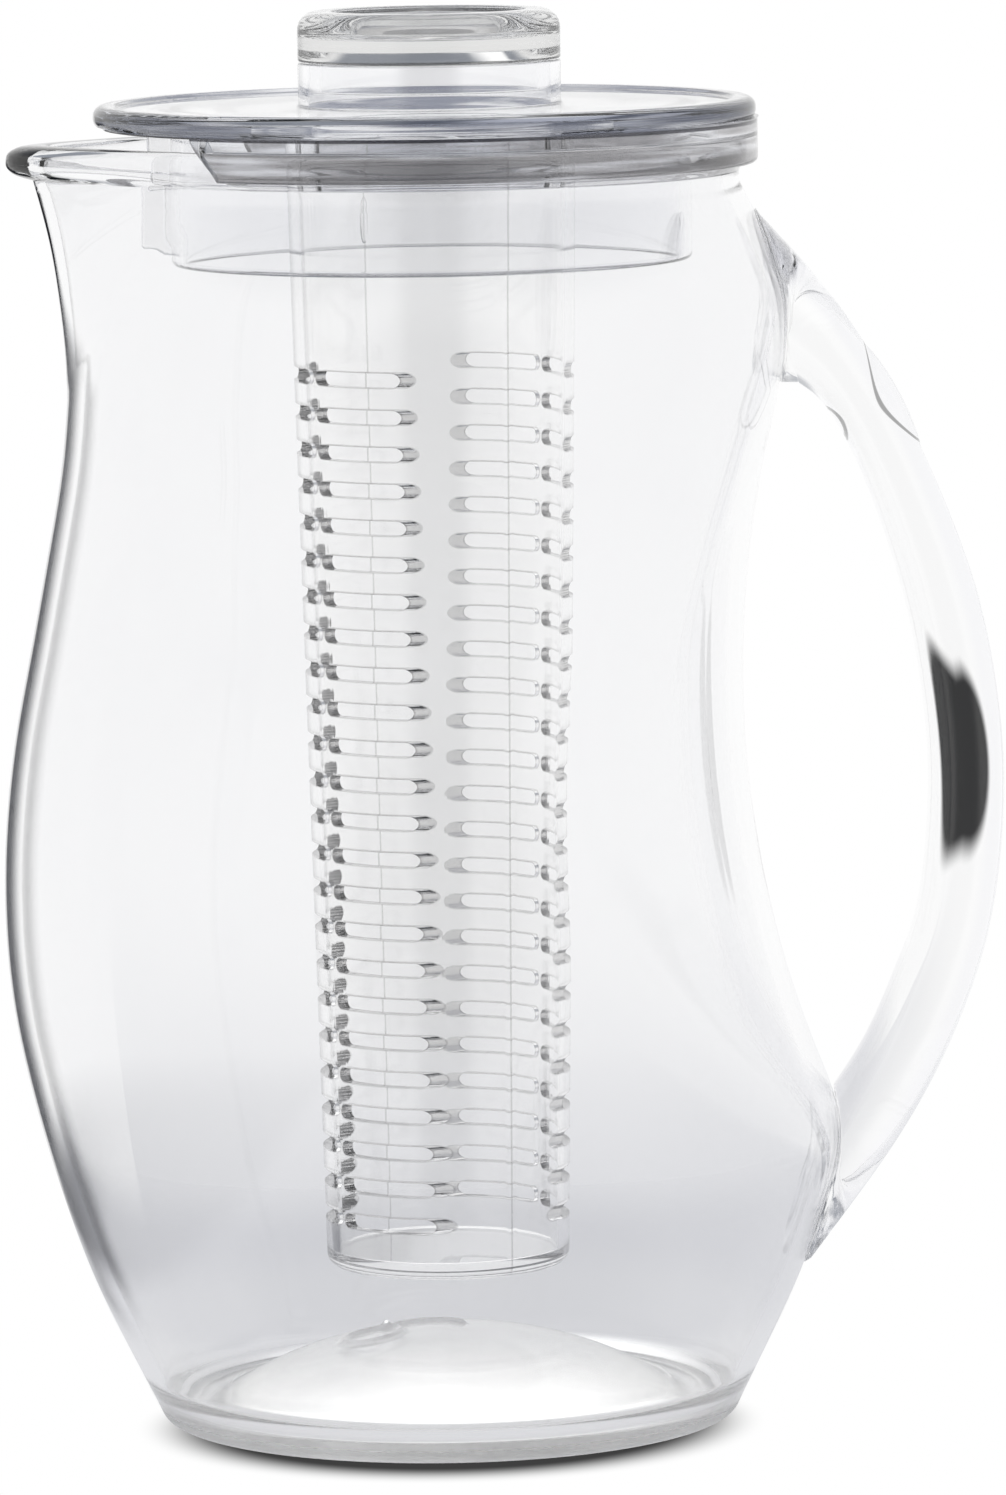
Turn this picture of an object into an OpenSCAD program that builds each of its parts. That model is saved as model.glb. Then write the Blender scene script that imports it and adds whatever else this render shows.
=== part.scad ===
// Fruit infuser pitcher: a clear jug with a bonded handle, a plug-in lid, a knob cap in the
// lid's neck and a slotted infuser tube that hangs from the lid by a twist lock.
// The origin is the centre of the foot on the table, +X points to the handle, +Z is up.

/* [Jug] */
// Height of the jug from the table to the top of its rim
jug_h = 256.4; // [246:0.2:270]
// Radius of the foot
foot_r = 57.2; // [53:0.1:62]
// Width of the flat underside between the foot's edge and the dome
foot_ring_w = 9; // [6:0.5:12]
// Height of the standing ring that carries the jug under its foot
stand_h = 0.5; // [0.3:0.1:1]
// Widest radius of the belly
belly_r = 87.7; // [83:0.1:93]
// Height of the widest part of the belly
belly_z = 105; // [95:1:115]
// Radius of the neck just under the rim
neck_r = 61.2; // [59:0.1:64]
// Thickness of the jug's wall
wall = 3.4; // [2.6:0.1:4.2]
// Height of the dome that is pushed up in the floor, to its upper surface
punt_h = 17.6; // [12:0.1:22]
// Height of the bead round the rim
bead_h = 7; // [5:0.1:9]
// How far the bead stands out from the neck
bead_out = 0.8; // [0.4:0.1:1.2]

/* [Spout] */
// Height at which the spout starts to leave the round body
spout_z = 205; // [195:1:215]
// Distance from the axis to the spout's throat just under its lip
throat_reach = 79.1; // [76:0.1:82]
// How far the lip curls out past the throat
lip_out = 4.5; // [2.5:0.1:6]
// Half angle over which the tip of the spout is rounded
tip_angle = 6; // [3:0.5:9]

/* [Finger scoop] */
// Distance from the axis to the deepest point of the scoop
scoop_reach = 60.8; // [58:0.1:65]
// Height of the deepest point of the scoop
scoop_z = 148; // [140:1:156]
// Radius of the scoop seen from the side
scoop_side_r = 212; // [195:1:235]
// Radius of the scoop seen from above
scoop_top_r = 125; // [110:1:140]
// Width over which the scoop's edge is eased
scoop_blend = 2.5; // [1.5:0.1:4]

/* [Handle] */
// How far the handle stands out past the belly
handle_out = 25.2; // [20:0.1:30]
// Thickness of the grip, from its inner to its outer side
handle_t = 15.3; // [12:0.1:18]
// Width of the grip, from side to side
handle_w = 19; // [15:0.1:23]
// Height by which the thumb rest stands proud
thumb_h = 2.2; // [1:0.1:3]
// Gap that the solvent bond fills between handle and jug
bond_gap = 0.25; // [0.2:0.01:0.4]

/* [Lid] */
// Radius of the lid's disc
lid_r = 65.8; // [64.5:0.1:68]
// How far the disc is set off towards the spout
lid_offset = 1.1; // [0:0.1:1.6]
// Height of the lid's rounded rim
lid_rim_h = 4.7; // [3.5:0.1:6]
// Width of the raised rim on top of the disc
lid_rim_w = 4.2; // [3:0.1:6]
// Depth of the disc's top face below its rim
lid_recess = 0.8; // [0.4:0.1:1.4]
// Thickness of the disc inside its rim
disc_t = 2.6; // [2:0.1:3.2]
// Thickness of the skirt outside the jug's rim
skirt_t = 2.2; // [1.6:0.1:2.6]
// How far the skirt reaches below the disc's rim
skirt_h = 8.4; // [6:0.1:10]
// Depth of the ledge that rests on the jug's rim
ledge_h = 2.7; // [1.5:0.1:3.5]
// Room between the collar and the inside of the jug's neck
collar_room = 6.1; // [3.8:0.1:10.8]
// Thickness of the collar
collar_t = 2.5; // [1.8:0.1:3]
// How far the collar reaches below the disc's rim
collar_h = 27.4; // [20:0.1:32]
// Thickness of the locating tab on the collar
tab_t = 2.2; // [1.5:0.1:3]
// Clearance between the tab and the inside of the jug's neck
tab_gap = 1.5; // [1.3:0.1:3.1]
// Half angle of the opening that the skirt leaves at the spout
spout_gap_angle = 44; // [40:0.5:48]
// Outer radius of the neck through the lid
spigot_r = 26.1; // [23:0.1:28]
// Thickness of the neck's wall
spigot_t = 1.9; // [1.5:0.1:2.2]
// How far the neck stands above the disc's rim
spigot_up = 7.8; // [5:0.1:12]
// How far the neck reaches below the disc's rim, into the tube
spigot_down = 10.4; // [9.5:0.1:14]

/* [Knob cap] */
// Height of the cap above the neck
cap_h = 9.8; // [8.5:0.1:13]
// Radius of the cap's rounded shoulder
cap_round = 3.8; // [2.5:0.1:4.4]
// Radius of the dish in the cap
dish_r = 19.4; // [16:0.1:20.5]
// Depth of the dish
dish_h = 5.5; // [3.5:0.1:6]
// Thickness of the dish's floor
dish_t = 2.1; // [1.5:0.1:2.6]
// Depth of the plug inside the neck
plug_h = 6; // [4:0.1:8]
// Thickness of the plug's wall
plug_t = 2.2; // [1.6:0.1:2.6]

/* [Infuser tube] */
// Height of the tube's bottom above the table
tube_z = 31; // [26:0.1:40]
// Outer radius of the tube at its bottom
tube_bottom_r = 24.4; // [22:0.1:25.5]
// Thickness of the tube's wall
tube_t = 2.3; // [1.9:0.1:2.5]
// Thickness of the tube's floor
tube_floor = 3.4; // [2:0.1:5]
// Rounding of the tube's bottom edge
tube_round = 2.5; // [1.5:0.1:3.2]
// Number of rows of slots
slot_rows = 24; // [18:1:26]
// Height of the lowest row above the tube's bottom
slot_start = 11; // [8:0.1:16]
// Distance from one row to the next
slot_pitch = 7.32; // [6:0.01:8]
// Height of a slot
slot_h = 2.9; // [2:0.1:3.4]
// Half width of the rib between the two slots of a row
slot_rib = 1.1; // [0.8:0.1:2]
// Distance from the mould's draw plane to the far end of a slot
slot_reach = 19.8; // [17:0.1:20.5]
// Direction in which the slots are cut, from the handle's direction
slot_angle = 31; // [0:1:90]

/* [Twist lock] */
// Number of lugs on the lid's boss
lug_count = 3; // [2:1:4]
// Length of a lug round the boss
lug_w = 7; // [5:0.1:9]
// Height of a lug
lug_h = 2.2; // [1.6:0.1:3]
// How far a lug stands out from the boss
lug_out = 1.2; // [1:0.05:1.4]

/* [Fits] */
// Clearance between parts that lie on each other
seat_gap = 0.3; // [0.25:0.01:0.4]
// Clearance between the lid's skirt and the jug's bead
skirt_gap = 0.8; // [0.5:0.1:1.2]
// Clearance between the boss and the tube, and between the neck and the plug
plug_gap = 0.3; // [0.25:0.01:0.4]

/* [Hidden] */
$fn = 96;
// Overrun of a cutter past the face that it opens
cut_over = 1;
// Number of facets round the jug, and of steps between two points of an outline
jug_sides = 72;
curve_steps = 2;
// Small steps, along the height and round the axis, used to measure how steep the shell is
height_probe = wall / 7;
angle_probe = 0.5;

// Shares of the way from foot to belly: height, then radius
lower_shares = [[0, 0], [0.124, 0.21], [0.25, 0.42], [0.435, 0.65], [0.635, 0.84], [0.80, 0.953], [1, 1]];
// Shares of the way from belly to neck: height, then how much of the belly is left
upper_shares = [
    [0.225, 0.902], [0.366, 0.75], [0.50, 0.61], [0.623, 0.49], [0.725, 0.44],
    [0.82, 0.38], [0.90, 0.26], [0.96, 0.11], [1, 0]
];
// Shares of the way from the spout's start to its throat: height, then reach
spout_shares = [[0, 0], [0.22, 0.03], [0.45, 0.19], [0.72, 0.48], [0.915, 0.83], [1, 1]];
// Shares of the bead: height, then how far it stands out
bead_shares = [[0, 0], [0.12, 0.55], [0.32, 0.93], [0.58, 1], [0.85, 0.8], [1, 0.35]];
// Shares of the edge between the inner wall and the rim's top: height down, then width
rim_inner_shares = [[0, 0.3], [0.3, 0.05]];

bead_z = jug_h - bead_h;
neck_z = bead_z - 0.3 * bead_h;
foot_edge = 0.45 * wall;
punt_r = foot_r - foot_ring_w - foot_edge;
punt_rise = punt_h - wall - stand_h;
punt_sphere_r = (punt_r * punt_r + punt_rise * punt_rise) / (2 * punt_rise);
inner_corner_z = 3.5 * wall;
scoop_axis = scoop_top_r - scoop_reach;
collar_r = neck_r - wall - collar_room;
tab_out = collar_room - tab_gap;

// Point at share t between b and c on a smooth curve through a, b, c and d
function curve_point(a, b, c, d, t) =
    0.5 * (2 * b + (c - a) * t + (2 * a - 5 * b + 4 * c - d) * t * t + (3 * b - a - 3 * c + d) * t * t * t);

// Smooth curve through all the points, with the same number of steps between each two
function curve(points, steps) =
    let (last = len(points) - 1)
    concat(
        [for (i = [0:last - 1])
            let (a = points[max(i - 1, 0)], d = points[min(i + 2, last)])
            for (k = [0:steps - 1]) curve_point(a, points[i], points[i + 1], d, k / steps)],
        [points[last]]
    );

body_points = concat(
    [for (s = lower_shares) [s[0] * belly_z, foot_r + s[1] * (belly_r - foot_r)]],
    [for (s = upper_shares) [belly_z + s[0] * (neck_z - belly_z), neck_r + s[1] * (belly_r - neck_r)]]
);
body_profile = curve(body_points, curve_steps);

// Radius of the round body at height z
function round_r(z) = lookup(z, body_profile);

spout_root_r = round_r(spout_z);
spout_points = [
    for (s = spout_shares)
        [spout_z + s[0] * (bead_z - spout_z), spout_root_r + s[1] * (throat_reach - spout_root_r)]
];
spout_profile = curve(spout_points, curve_steps);

// Reach of the spout's front edge at height z
function spout_r(z) = z < spout_z ? round_r(z) : max(lookup(z, spout_profile), round_r(z));

// Angle from the spout's middle, from 0 to 180
function from_spout(a) = abs(((a % 360) + 360) % 360 - 180);

// Same angle, eased at the middle so that the spout's tip is round
function eased(angle) = sqrt(angle * angle + tip_angle * tip_angle);

// Radius of the body with its spout: two flat sides that leave the round body as tangents
function spouted_r(a, z) =
    let (
        r = round_r(z),
        half = acos(min(1, r / spout_r(z))),
        bend = half <= 0 ? 0 : max(0, half + tip_angle * min(1, half / tip_angle) - eased(from_spout(a)))
    )
    r / cos(min(half, bend));

// Reach of the scoop at height z, along the handle's direction
function scoop_x(z) = scoop_reach + scoop_side_r - sqrt(max(0, pow(scoop_side_r, 2) - pow(z - scoop_z, 2)));

// Radius at which the scoop's surface is met at angle a
function scoop_r(a, z) =
    let (reach = scoop_x(z) + scoop_axis, side = scoop_axis * sin(a))
    sqrt(max(0, reach * reach - side * side)) - scoop_axis * cos(a);

// The smaller of two radii, eased where they meet
function eased_min(p, q, width) =
    let (h = max(width - abs(p - q), 0) / width)
    min(p, q) - h * h * width / 4;

// Outer radius of the jug below its rim bead
function skin_r(a, z) =
    cos(a) > 0 ? eased_min(spouted_r(a, z), scoop_r(a, z), scoop_blend) : spouted_r(a, z);

// How much of the lip's curl there is at angle a
function lip_share(a) =
    let (half = acos(min(1, neck_r / throat_reach)), q = min(1, from_spout(a) / half))
    pow(cos(90 * q), 2);

// How far the bead stands out at angle a
function bead_reach(a) = bead_out + lip_out * lip_share(a);

// Inner radius: the wall is measured square to the skin
function inner_r(a, z) =
    let (
        r = skin_r(a, z),
        rise = (skin_r(a, z + height_probe) - skin_r(a, z - height_probe)) / (2 * height_probe),
        turn = (skin_r(a + angle_probe, z) - skin_r(a - angle_probe, z)) / (2 * angle_probe) * 180 / PI / r
    )
    r - wall * sqrt(1 + rise * rise + turn * turn);

// Height of the domed floor at radius r, for the under side or, a wall higher, the upper side
function dome_z(r, lift) =
    sqrt(pow(punt_sphere_r + lift, 2) - r * r) - punt_sphere_r + punt_rise + stand_h;

// One ring of the shell: a list of points, from a height and a function value
function ring(radii, heights) = [
    for (i = [0:jug_sides - 1])
        let (a = 360 * i / jug_sides) [radii[i] * cos(a), radii[i] * sin(a), heights[i]]
];

function angles() = [for (i = [0:jug_sides - 1]) 360 * i / jug_sides];

// A flat, round ring of radius r at height z
function round_ring(r, z) = ring([for (a = angles()) r], [for (a = angles()) z]);

// Heights of the rings up the wall
function wall_heights(from) = [for (p = body_profile) if (p[0] > from) p[0]];

outer_heights = wall_heights(2 * foot_edge + stand_h);
inner_heights = wall_heights(1.2 * inner_corner_z);
foot_rings = [
    for (q = [0:2])
        round_ring(punt_r + foot_ring_w + foot_edge * sin(45 * q), stand_h + foot_edge * (1 - cos(45 * q)))
];
outer_rings = [for (z = outer_heights) ring([for (a = angles()) skin_r(a, z)], [for (a = angles()) z])];
bead_rings = [
    for (s = bead_shares)
        ring([for (a = angles()) skin_r(a, bead_z) + bead_reach(a) * s[1]],
             [for (a = angles()) bead_z + bead_h * s[0]])
];
rim_rings = [
    for (s = rim_inner_shares)
        ring([for (a = angles()) inner_r(a, bead_z) + wall * s[1]],
             [for (a = angles()) jug_h - bead_h * 0.2 * s[0]])
];
inner_rings = [
    for (i = [len(inner_heights) - 1:-1:0])
        let (z = inner_heights[i]) ring([for (a = angles()) inner_r(a, z)], [for (a = angles()) z])
];

// The rounded corner between the inner wall and the floor, as a curve pulled to one point
corner_top = [inner_r(90, inner_corner_z), inner_corner_z];
corner_pull = [foot_r - 0.4 * wall, 0.85 * wall];
corner_floor = [punt_r - foot_edge, dome_z(punt_r - foot_edge, wall)];
corner_rings = [
    for (k = [0:4])
        let (t = k / 4, p = (1 - t) * (1 - t) * corner_top + 2 * t * (1 - t) * corner_pull + t * t * corner_floor)
        round_ring(p[0], p[1])
];
floor_rings = [for (s = [0.8, 0.55, 0.3, 0.1]) round_ring(corner_floor[0] * s, dome_z(corner_floor[0] * s, wall))];
under_rings = [for (s = [0.1, 0.35, 0.65, 0.87]) round_ring(punt_r * s, dome_z(punt_r * s, 0))];
foot_inner_ring = round_ring(punt_r, stand_h);

shell_rings = concat(
    [foot_inner_ring], foot_rings, outer_rings, bead_rings, rim_rings, inner_rings, corner_rings, floor_rings
);

// Quads between two rings, as triangles, for n points a ring
function band(i, n) = [
    for (k = [0:n - 1])
        let (a = i * n + k, b = i * n + (k + 1) % n, c = (i + 1) * n + (k + 1) % n, d = (i + 1) * n + k)
        for (f = [[a, c, b], [a, d, c]]) f
];

// Fan from a middle point to a ring that starts at point number first
function fan(middle, first, n, flip) = [
    for (k = [0:n - 1])
        flip ? [middle, first + k, first + (k + 1) % n] : [middle, first + (k + 1) % n, first + k]
];

// The blown shell: skin, bead, inner wall and domed floor as one closed skin
module shell() {
    n = jug_sides;
    under_count = len(under_rings);
    rings = concat(under_rings, shell_rings);
    points = concat(
        [for (r = rings) for (p = r) p],
        [[0, 0, dome_z(0, wall)], [0, 0, dome_z(0, 0)]]
    );
    last = len(rings) - 1;
    top_middle = len(points) - 2;
    faces = concat(
        [for (i = [0:last - 1]) for (f = band(i, n)) f],
        fan(top_middle + 1, 0, n, true),
        fan(top_middle, last * n, n, false)
    );
    polyhedron(points = points, faces = faces, convexity = 6);
}

// The plain ring under the foot that touches the table
module stand_ring() {
    rotate_extrude()
        polygon([
            [punt_r + foot_ring_w * 0.25, 0], [punt_r + foot_ring_w * 0.92, 0],
            [punt_r + foot_ring_w * 0.92, stand_h + wall / 2], [punt_r + foot_ring_w * 0.25, stand_h + wall / 2]
        ]);
}

module jug_body() {
    color("aliceblue", 0.35)
    union() {
        shell();
        stand_ring();
    }
}

// Shares of the handle's outer edge: distance from the axis, then height
outer_edge_shares = [
    [0.569, 0.942], [0.700, 0.876], [0.800, 0.806], [0.892, 0.720], [0.965, 0.624],
    [1, 0.507], [0.977, 0.390], [0.906, 0.295], [0.802, 0.211], [0.640, 0.115]
];
// Shares of the handle's inner edge, at the same places along the grip
inner_edge_shares = [
    [0.740, 0.807], [0.789, 0.792], [0.845, 0.757], [0.910, 0.694], [0.969, 0.612],
    [1, 0.507], [0.9775, 0.402], [0.922, 0.341], [0.863, 0.291], [0.790, 0.248]
];
// Extra half width of the grip towards its two roots, at the same places
flare_shares = [0.30, 0.16, 0.04, 0, 0, 0, 0, 0.04, 0.16, 0.30];
// Place of the thumb rest along the outer edge, and its half length and half width, in shares
thumb_at_share = 0.262;
thumb_length_share = 0.055;
thumb_width_share = 0.62;
handle_sides = 20;
handle_steps = 4;
handle_roundness = 2.4;
cap_ring_shares = [0.33, 0.66, 1];

handle_reach = belly_r + handle_out;
outer_edge = curve([for (s = outer_edge_shares) [s[0] * handle_reach, s[1] * jug_h]], handle_steps);
inner_edge = curve([for (s = inner_edge_shares) [s[0] * (handle_reach - handle_t), s[1] * jug_h]], handle_steps);
flare_curve = curve([for (s = flare_shares) [s, 0]], handle_steps);

// Distance of the jug's skin from the YZ plane, at a place beside the handle
function skin_x(y, z) =
    let (
        first = skin_r(0, z),
        x0 = sqrt(max(1, first * first - y * y)),
        r1 = skin_r(atan2(y, x0), z),
        x1 = sqrt(max(1, r1 * r1 - y * y)),
        r2 = skin_r(atan2(y, x1), z)
    )
    sqrt(max(1, r2 * r2 - y * y));

function rounded(v) = sign(v) * pow(abs(v), 2 / handle_roundness);

// How far the thumb rest lifts the surface at share t of the grip and angle a of the section
function thumb_lift(t, a) =
    let (
        along = (t - thumb_at_share) / thumb_length_share,
        across = sin(a) / thumb_width_share,
        left = 1 - along * along - across * across
    )
    cos(a) > 0 && left > 0 ? thumb_h * sqrt(left) : 0;

// One section of the grip: scale draws it in, and pressed lays it on the jug's skin
function grip_ring(i, scale, pressed) =
    let (
        t = i / (len(outer_edge) - 1),
        middle = (outer_edge[i] + inner_edge[i]) / 2,
        half = (outer_edge[i] - inner_edge[i]) / 2,
        half_w = handle_w / 2 * (1 + flare_curve[i][0]),
        square_to = half / norm(half)
    )
    [
        for (k = [0:handle_sides - 1])
            let (
                a = -360 * k / handle_sides,
                p = middle + half * rounded(cos(a)) * scale + square_to * thumb_lift(t, a),
                y = half_w * rounded(sin(a)) * scale,
                laid = skin_x(y, p[1]) + bond_gap
            )
            [pressed ? laid : max(p[0], laid + bond_gap), y, p[1]]
    ];

module handle() {
    n = handle_sides;
    ends = len(outer_edge) - 1;
    caps = len(cap_ring_shares);
    rings = concat(
        [for (s = cap_ring_shares) grip_ring(0, s, true)],
        [for (i = [1:ends - 1]) grip_ring(i, 1, false)],
        [for (k = [caps - 1:-1:0]) grip_ring(ends, cap_ring_shares[k], true)]
    );
    top = (outer_edge[0] + inner_edge[0]) / 2;
    foot = (outer_edge[ends] + inner_edge[ends]) / 2;
    points = concat(
        [for (r = rings) for (p = r) p],
        [[skin_x(0, top[1]) + bond_gap, 0, top[1]], [skin_x(0, foot[1]) + bond_gap, 0, foot[1]]]
    );
    last = len(rings) - 1;
    middle = len(points) - 2;
    faces = concat(
        fan(middle, 0, n, true),
        [for (i = [0:last - 1]) for (f = band(i, n)) f],
        fan(middle + 1, last * n, n, false)
    );
    color("aliceblue", 0.45)
    polyhedron(points = points, faces = faces, convexity = 6);
}

// Heights and radii that the lid, cap and tube share
lid_seat_z = jug_h + seat_gap;
rim_under_z = lid_seat_z + ledge_h;
lid_top_z = rim_under_z + lid_rim_h;
disc_top_z = lid_top_z - lid_recess;
disc_under_z = disc_top_z - disc_t;
skirt_inner_r = neck_r + bead_out + skirt_gap;
skirt_outer_r = skirt_inner_r + skirt_t;
skirt_z = rim_under_z - skirt_h;
collar_z = rim_under_z - collar_h;
spigot_top_z = lid_top_z + spigot_up;
spigot_z = rim_under_z - spigot_down;
spigot_inner_r = spigot_r - spigot_t;
lid_round = 0.45 * lid_rim_h;
ledge_inner_r = neck_r - 1.2 * wall;
tube_top_z = disc_under_z - seat_gap;
tube_floor_z = tube_z + tube_floor;
tube_bottom_inner_r = tube_bottom_r - tube_t;
tube_top_inner_r = tube_bottom_inner_r + (spigot_r + plug_gap - tube_bottom_inner_r)
    * (tube_top_z - tube_floor_z) / (spigot_z - tube_floor_z);
tube_top_r = tube_top_inner_r + tube_t;
lug_z = spigot_z + lug_h;
lug_plane = spigot_r + lug_out;
entry_reach = lug_plane + plug_gap;
entry_half_w = lug_w / 2 + plug_gap;
groove_r = norm([entry_reach, entry_half_w]) + plug_gap / 3;

// The disc's section: a rounded rim round a thinner, recessed plate
module disc_section() {
    arc = [for (q = [-90:30:90]) [lid_r - lid_round + lid_round * cos(q), q]];
    polygon(concat(
        [[0, disc_under_z], [collar_r, disc_under_z], [collar_r + lid_round, rim_under_z]],
        [for (p = arc) [p[0], rim_under_z + lid_round + lid_round * sin(p[1])
            + (p[1] > 0 ? lid_rim_h - 2 * lid_round : 0)]],
        [[lid_r - lid_rim_w, lid_top_z], [lid_r - lid_rim_w - lid_recess, disc_top_z], [0, disc_top_z]]
    ));
}

// The skirt, its opening at the spout with softly curved ends, and the ledge on the rim
module skirt() {
    gap_x = skirt_outer_r * cos(spout_gap_angle);
    foot_x = gap_x - 0.6 * skirt_h;
    steps = 8;
    swing = [for (k = [0:steps]) [
        -gap_x + (gap_x - foot_x) * (1 - cos(180 * k / steps)) / 2,
        rim_under_z - skirt_h * k / steps
    ]];
    difference() {
        rotate_extrude()
            polygon([
                [ledge_inner_r, lid_seat_z], [skirt_inner_r, lid_seat_z], [skirt_inner_r, skirt_z],
                [skirt_outer_r, skirt_z], [skirt_outer_r, rim_under_z + lid_round],
                [ledge_inner_r, rim_under_z + lid_round]
            ]);
        rotate([90, 0, 0])
            linear_extrude(height = 2 * lid_r, center = true)
                polygon(concat(
                    swing,
                    [[-foot_x, skirt_z - cut_over], [-lid_r - cut_over, skirt_z - cut_over],
                     [-lid_r - cut_over, rim_under_z]]
                ));
    }
}

// The neck through the lid, still solid, with the lugs on its lower end
module spigot() {
    translate([0, 0, spigot_z])
        cylinder(h = spigot_top_z - spigot_z, r = spigot_r);
    for (i = [0:lug_count - 1])
        rotate([0, 0, 360 * i / lug_count + slot_angle])
            translate([spigot_inner_r + spigot_t / 2, -lug_w / 2, lug_z])
                cube([lug_plane - spigot_inner_r - spigot_t / 2, lug_w, lug_h]);
}

// The collar inside the neck and the tab that finds the spout
module collar() {
    tab_z = collar_z + 0.9 * tab_t;
    collar_top_z = disc_top_z - disc_t / 2;
    rotate_extrude()
        polygon([
            [collar_r - collar_t, collar_z], [collar_r, collar_z], [collar_r, collar_top_z],
            [collar_r - collar_t, collar_top_z]
        ]);
    translate([-collar_r - tab_out, -tab_t / 2, tab_z])
        cube([tab_out + collar_t / 2, tab_t, rim_under_z + lid_round - tab_z]);
}

module lid() {
    color("lavender", 0.4)
    difference() {
        union() {
            translate([-lid_offset, 0, 0])
                rotate_extrude()
                    disc_section();
            skirt();
            collar();
            spigot();
        }
        translate([0, 0, spigot_z - cut_over])
            cylinder(h = spigot_top_z - spigot_z + 2 * cut_over, r = spigot_inner_r);
    }
}

// Heights of the cap
cap_z = spigot_top_z + seat_gap;
cap_top_z = cap_z + cap_h;
plug_outer_r = spigot_inner_r - plug_gap;
plug_inner_r = plug_outer_r - plug_t;
dish_z = cap_top_z - dish_h;

module knob_cap() {
    shoulder = [for (q = [0:18:90]) [
        spigot_r - cap_round + cap_round * cos(q), cap_top_z - cap_round + cap_round * sin(q)
    ]];
    dish_round = 0.45 * dish_h;
    bowl = [for (q = [0:22.5:90]) [
        dish_r - dish_round + dish_round * cos(q), dish_z + dish_round - dish_round * sin(q)
    ]];
    color("white", 0.4)
    rotate_extrude()
        polygon(concat(
            [[plug_inner_r, cap_z - plug_h], [plug_outer_r, cap_z - plug_h], [plug_outer_r, cap_z],
             [spigot_r, cap_z]],
            shoulder,
            [[dish_r, cap_top_z]],
            bowl,
            [[0, dish_z], [0, dish_z - dish_t], [plug_inner_r - dish_t, dish_z - dish_t],
             [plug_inner_r, dish_z - 2 * dish_t]]
        ));
}

// Slot seen along the draw direction: a bar with round ends
module slot_outline() {
    near = slot_rib + slot_h / 2;
    far = slot_reach - slot_h / 2;
    translate([near, -slot_h / 2])
        square([far - near, slot_h]);
    for (x = [near, far])
        translate([x, 0])
            circle(d = slot_h, $fn = 24);
}

module slots() {
    for (row = [0:slot_rows - 1])
        translate([0, 0, tube_z + slot_start + row * slot_pitch])
            rotate([0, 0, slot_angle])
                for (side = [0, 1])
                    mirror([0, side, 0])
                        rotate([90, 0, 90])
                            linear_extrude(height = 2 * tube_top_r + 2 * cut_over, center = true)
                                slot_outline();
}

// Groove that the lugs turn in, and the ways in from the tube's top
module lock_cuts() {
    groove_z = lug_z - seat_gap;
    groove_h = lug_h + 2 * seat_gap;
    translate([0, 0, groove_z])
        cylinder(h = groove_h, r = groove_r);
    entry_z = groove_z + groove_h / 2;
    for (i = [0:lug_count - 1])
        rotate([0, 0, 360 * (i + 0.5) / lug_count + slot_angle])
            translate([0, -entry_half_w, entry_z])
                cube([entry_reach, 2 * entry_half_w, tube_top_z - entry_z + cut_over]);
}

module infuser_tube() {
    bottom = [for (q = [0:22.5:90]) [
        tube_bottom_r - tube_round + tube_round * sin(q), tube_z + tube_round - tube_round * cos(q)
    ]];
    // The mould's parting line runs up the tube a quarter turn from the slots
    parting_angle = slot_angle + 90;
    color("gainsboro", 0.5)
    difference() {
        rotate([0, 0, parting_angle])
            rotate_extrude()
                polygon(concat(
                    [[0, tube_z]],
                    bottom,
                    [[tube_top_r, tube_top_z], [tube_top_inner_r, tube_top_z],
                     [tube_bottom_inner_r, tube_floor_z], [0, tube_floor_z]]
                ));
        slots();
        lock_cuts();
    }
}

jug_body();
handle();
lid();
knob_cap();
infuser_tube();
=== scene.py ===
"""Looks of a clear fruit infuser pitcher: jug with handle, plug-in lid, knob cap and slotted infuser tube."""

import logging
import math
from collections.abc import Callable, Iterable, Sequence
from dataclasses import dataclass, field
from enum import Enum

import bmesh
import bpy
import numpy as np
from mathutils import Matrix, Vector, noise


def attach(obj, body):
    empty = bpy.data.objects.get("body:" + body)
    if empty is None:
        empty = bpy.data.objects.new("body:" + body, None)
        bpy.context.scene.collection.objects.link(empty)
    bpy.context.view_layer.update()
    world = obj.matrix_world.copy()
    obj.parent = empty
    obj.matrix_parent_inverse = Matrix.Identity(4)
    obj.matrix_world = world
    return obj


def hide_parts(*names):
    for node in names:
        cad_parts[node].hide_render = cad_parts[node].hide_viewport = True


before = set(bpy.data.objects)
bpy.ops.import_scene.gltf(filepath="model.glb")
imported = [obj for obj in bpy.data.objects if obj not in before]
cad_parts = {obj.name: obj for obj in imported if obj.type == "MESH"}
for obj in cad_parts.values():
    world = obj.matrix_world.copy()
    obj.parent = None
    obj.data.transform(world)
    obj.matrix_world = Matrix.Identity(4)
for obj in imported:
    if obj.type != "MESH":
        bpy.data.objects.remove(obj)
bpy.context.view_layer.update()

logging.basicConfig(level=logging.INFO, format="%(message)s")
LOG = logging.getLogger("pitcher")

MM = 0.001
SHARP = math.radians(28)
WHITE = (1.0, 1.0, 1.0)
Point = tuple[float, float]
Range = tuple[float, float]
Band = tuple[float, float, float, float]
Colour = tuple[float, float, float]
Place = tuple[float, float, float]


class Body(str, Enum):
    """Moving bodies of the pitcher."""

    JUG = "jug"
    LID = "lid"
    CAP = "cap"
    INFUSER = "infuser"


# Shader maths


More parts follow.
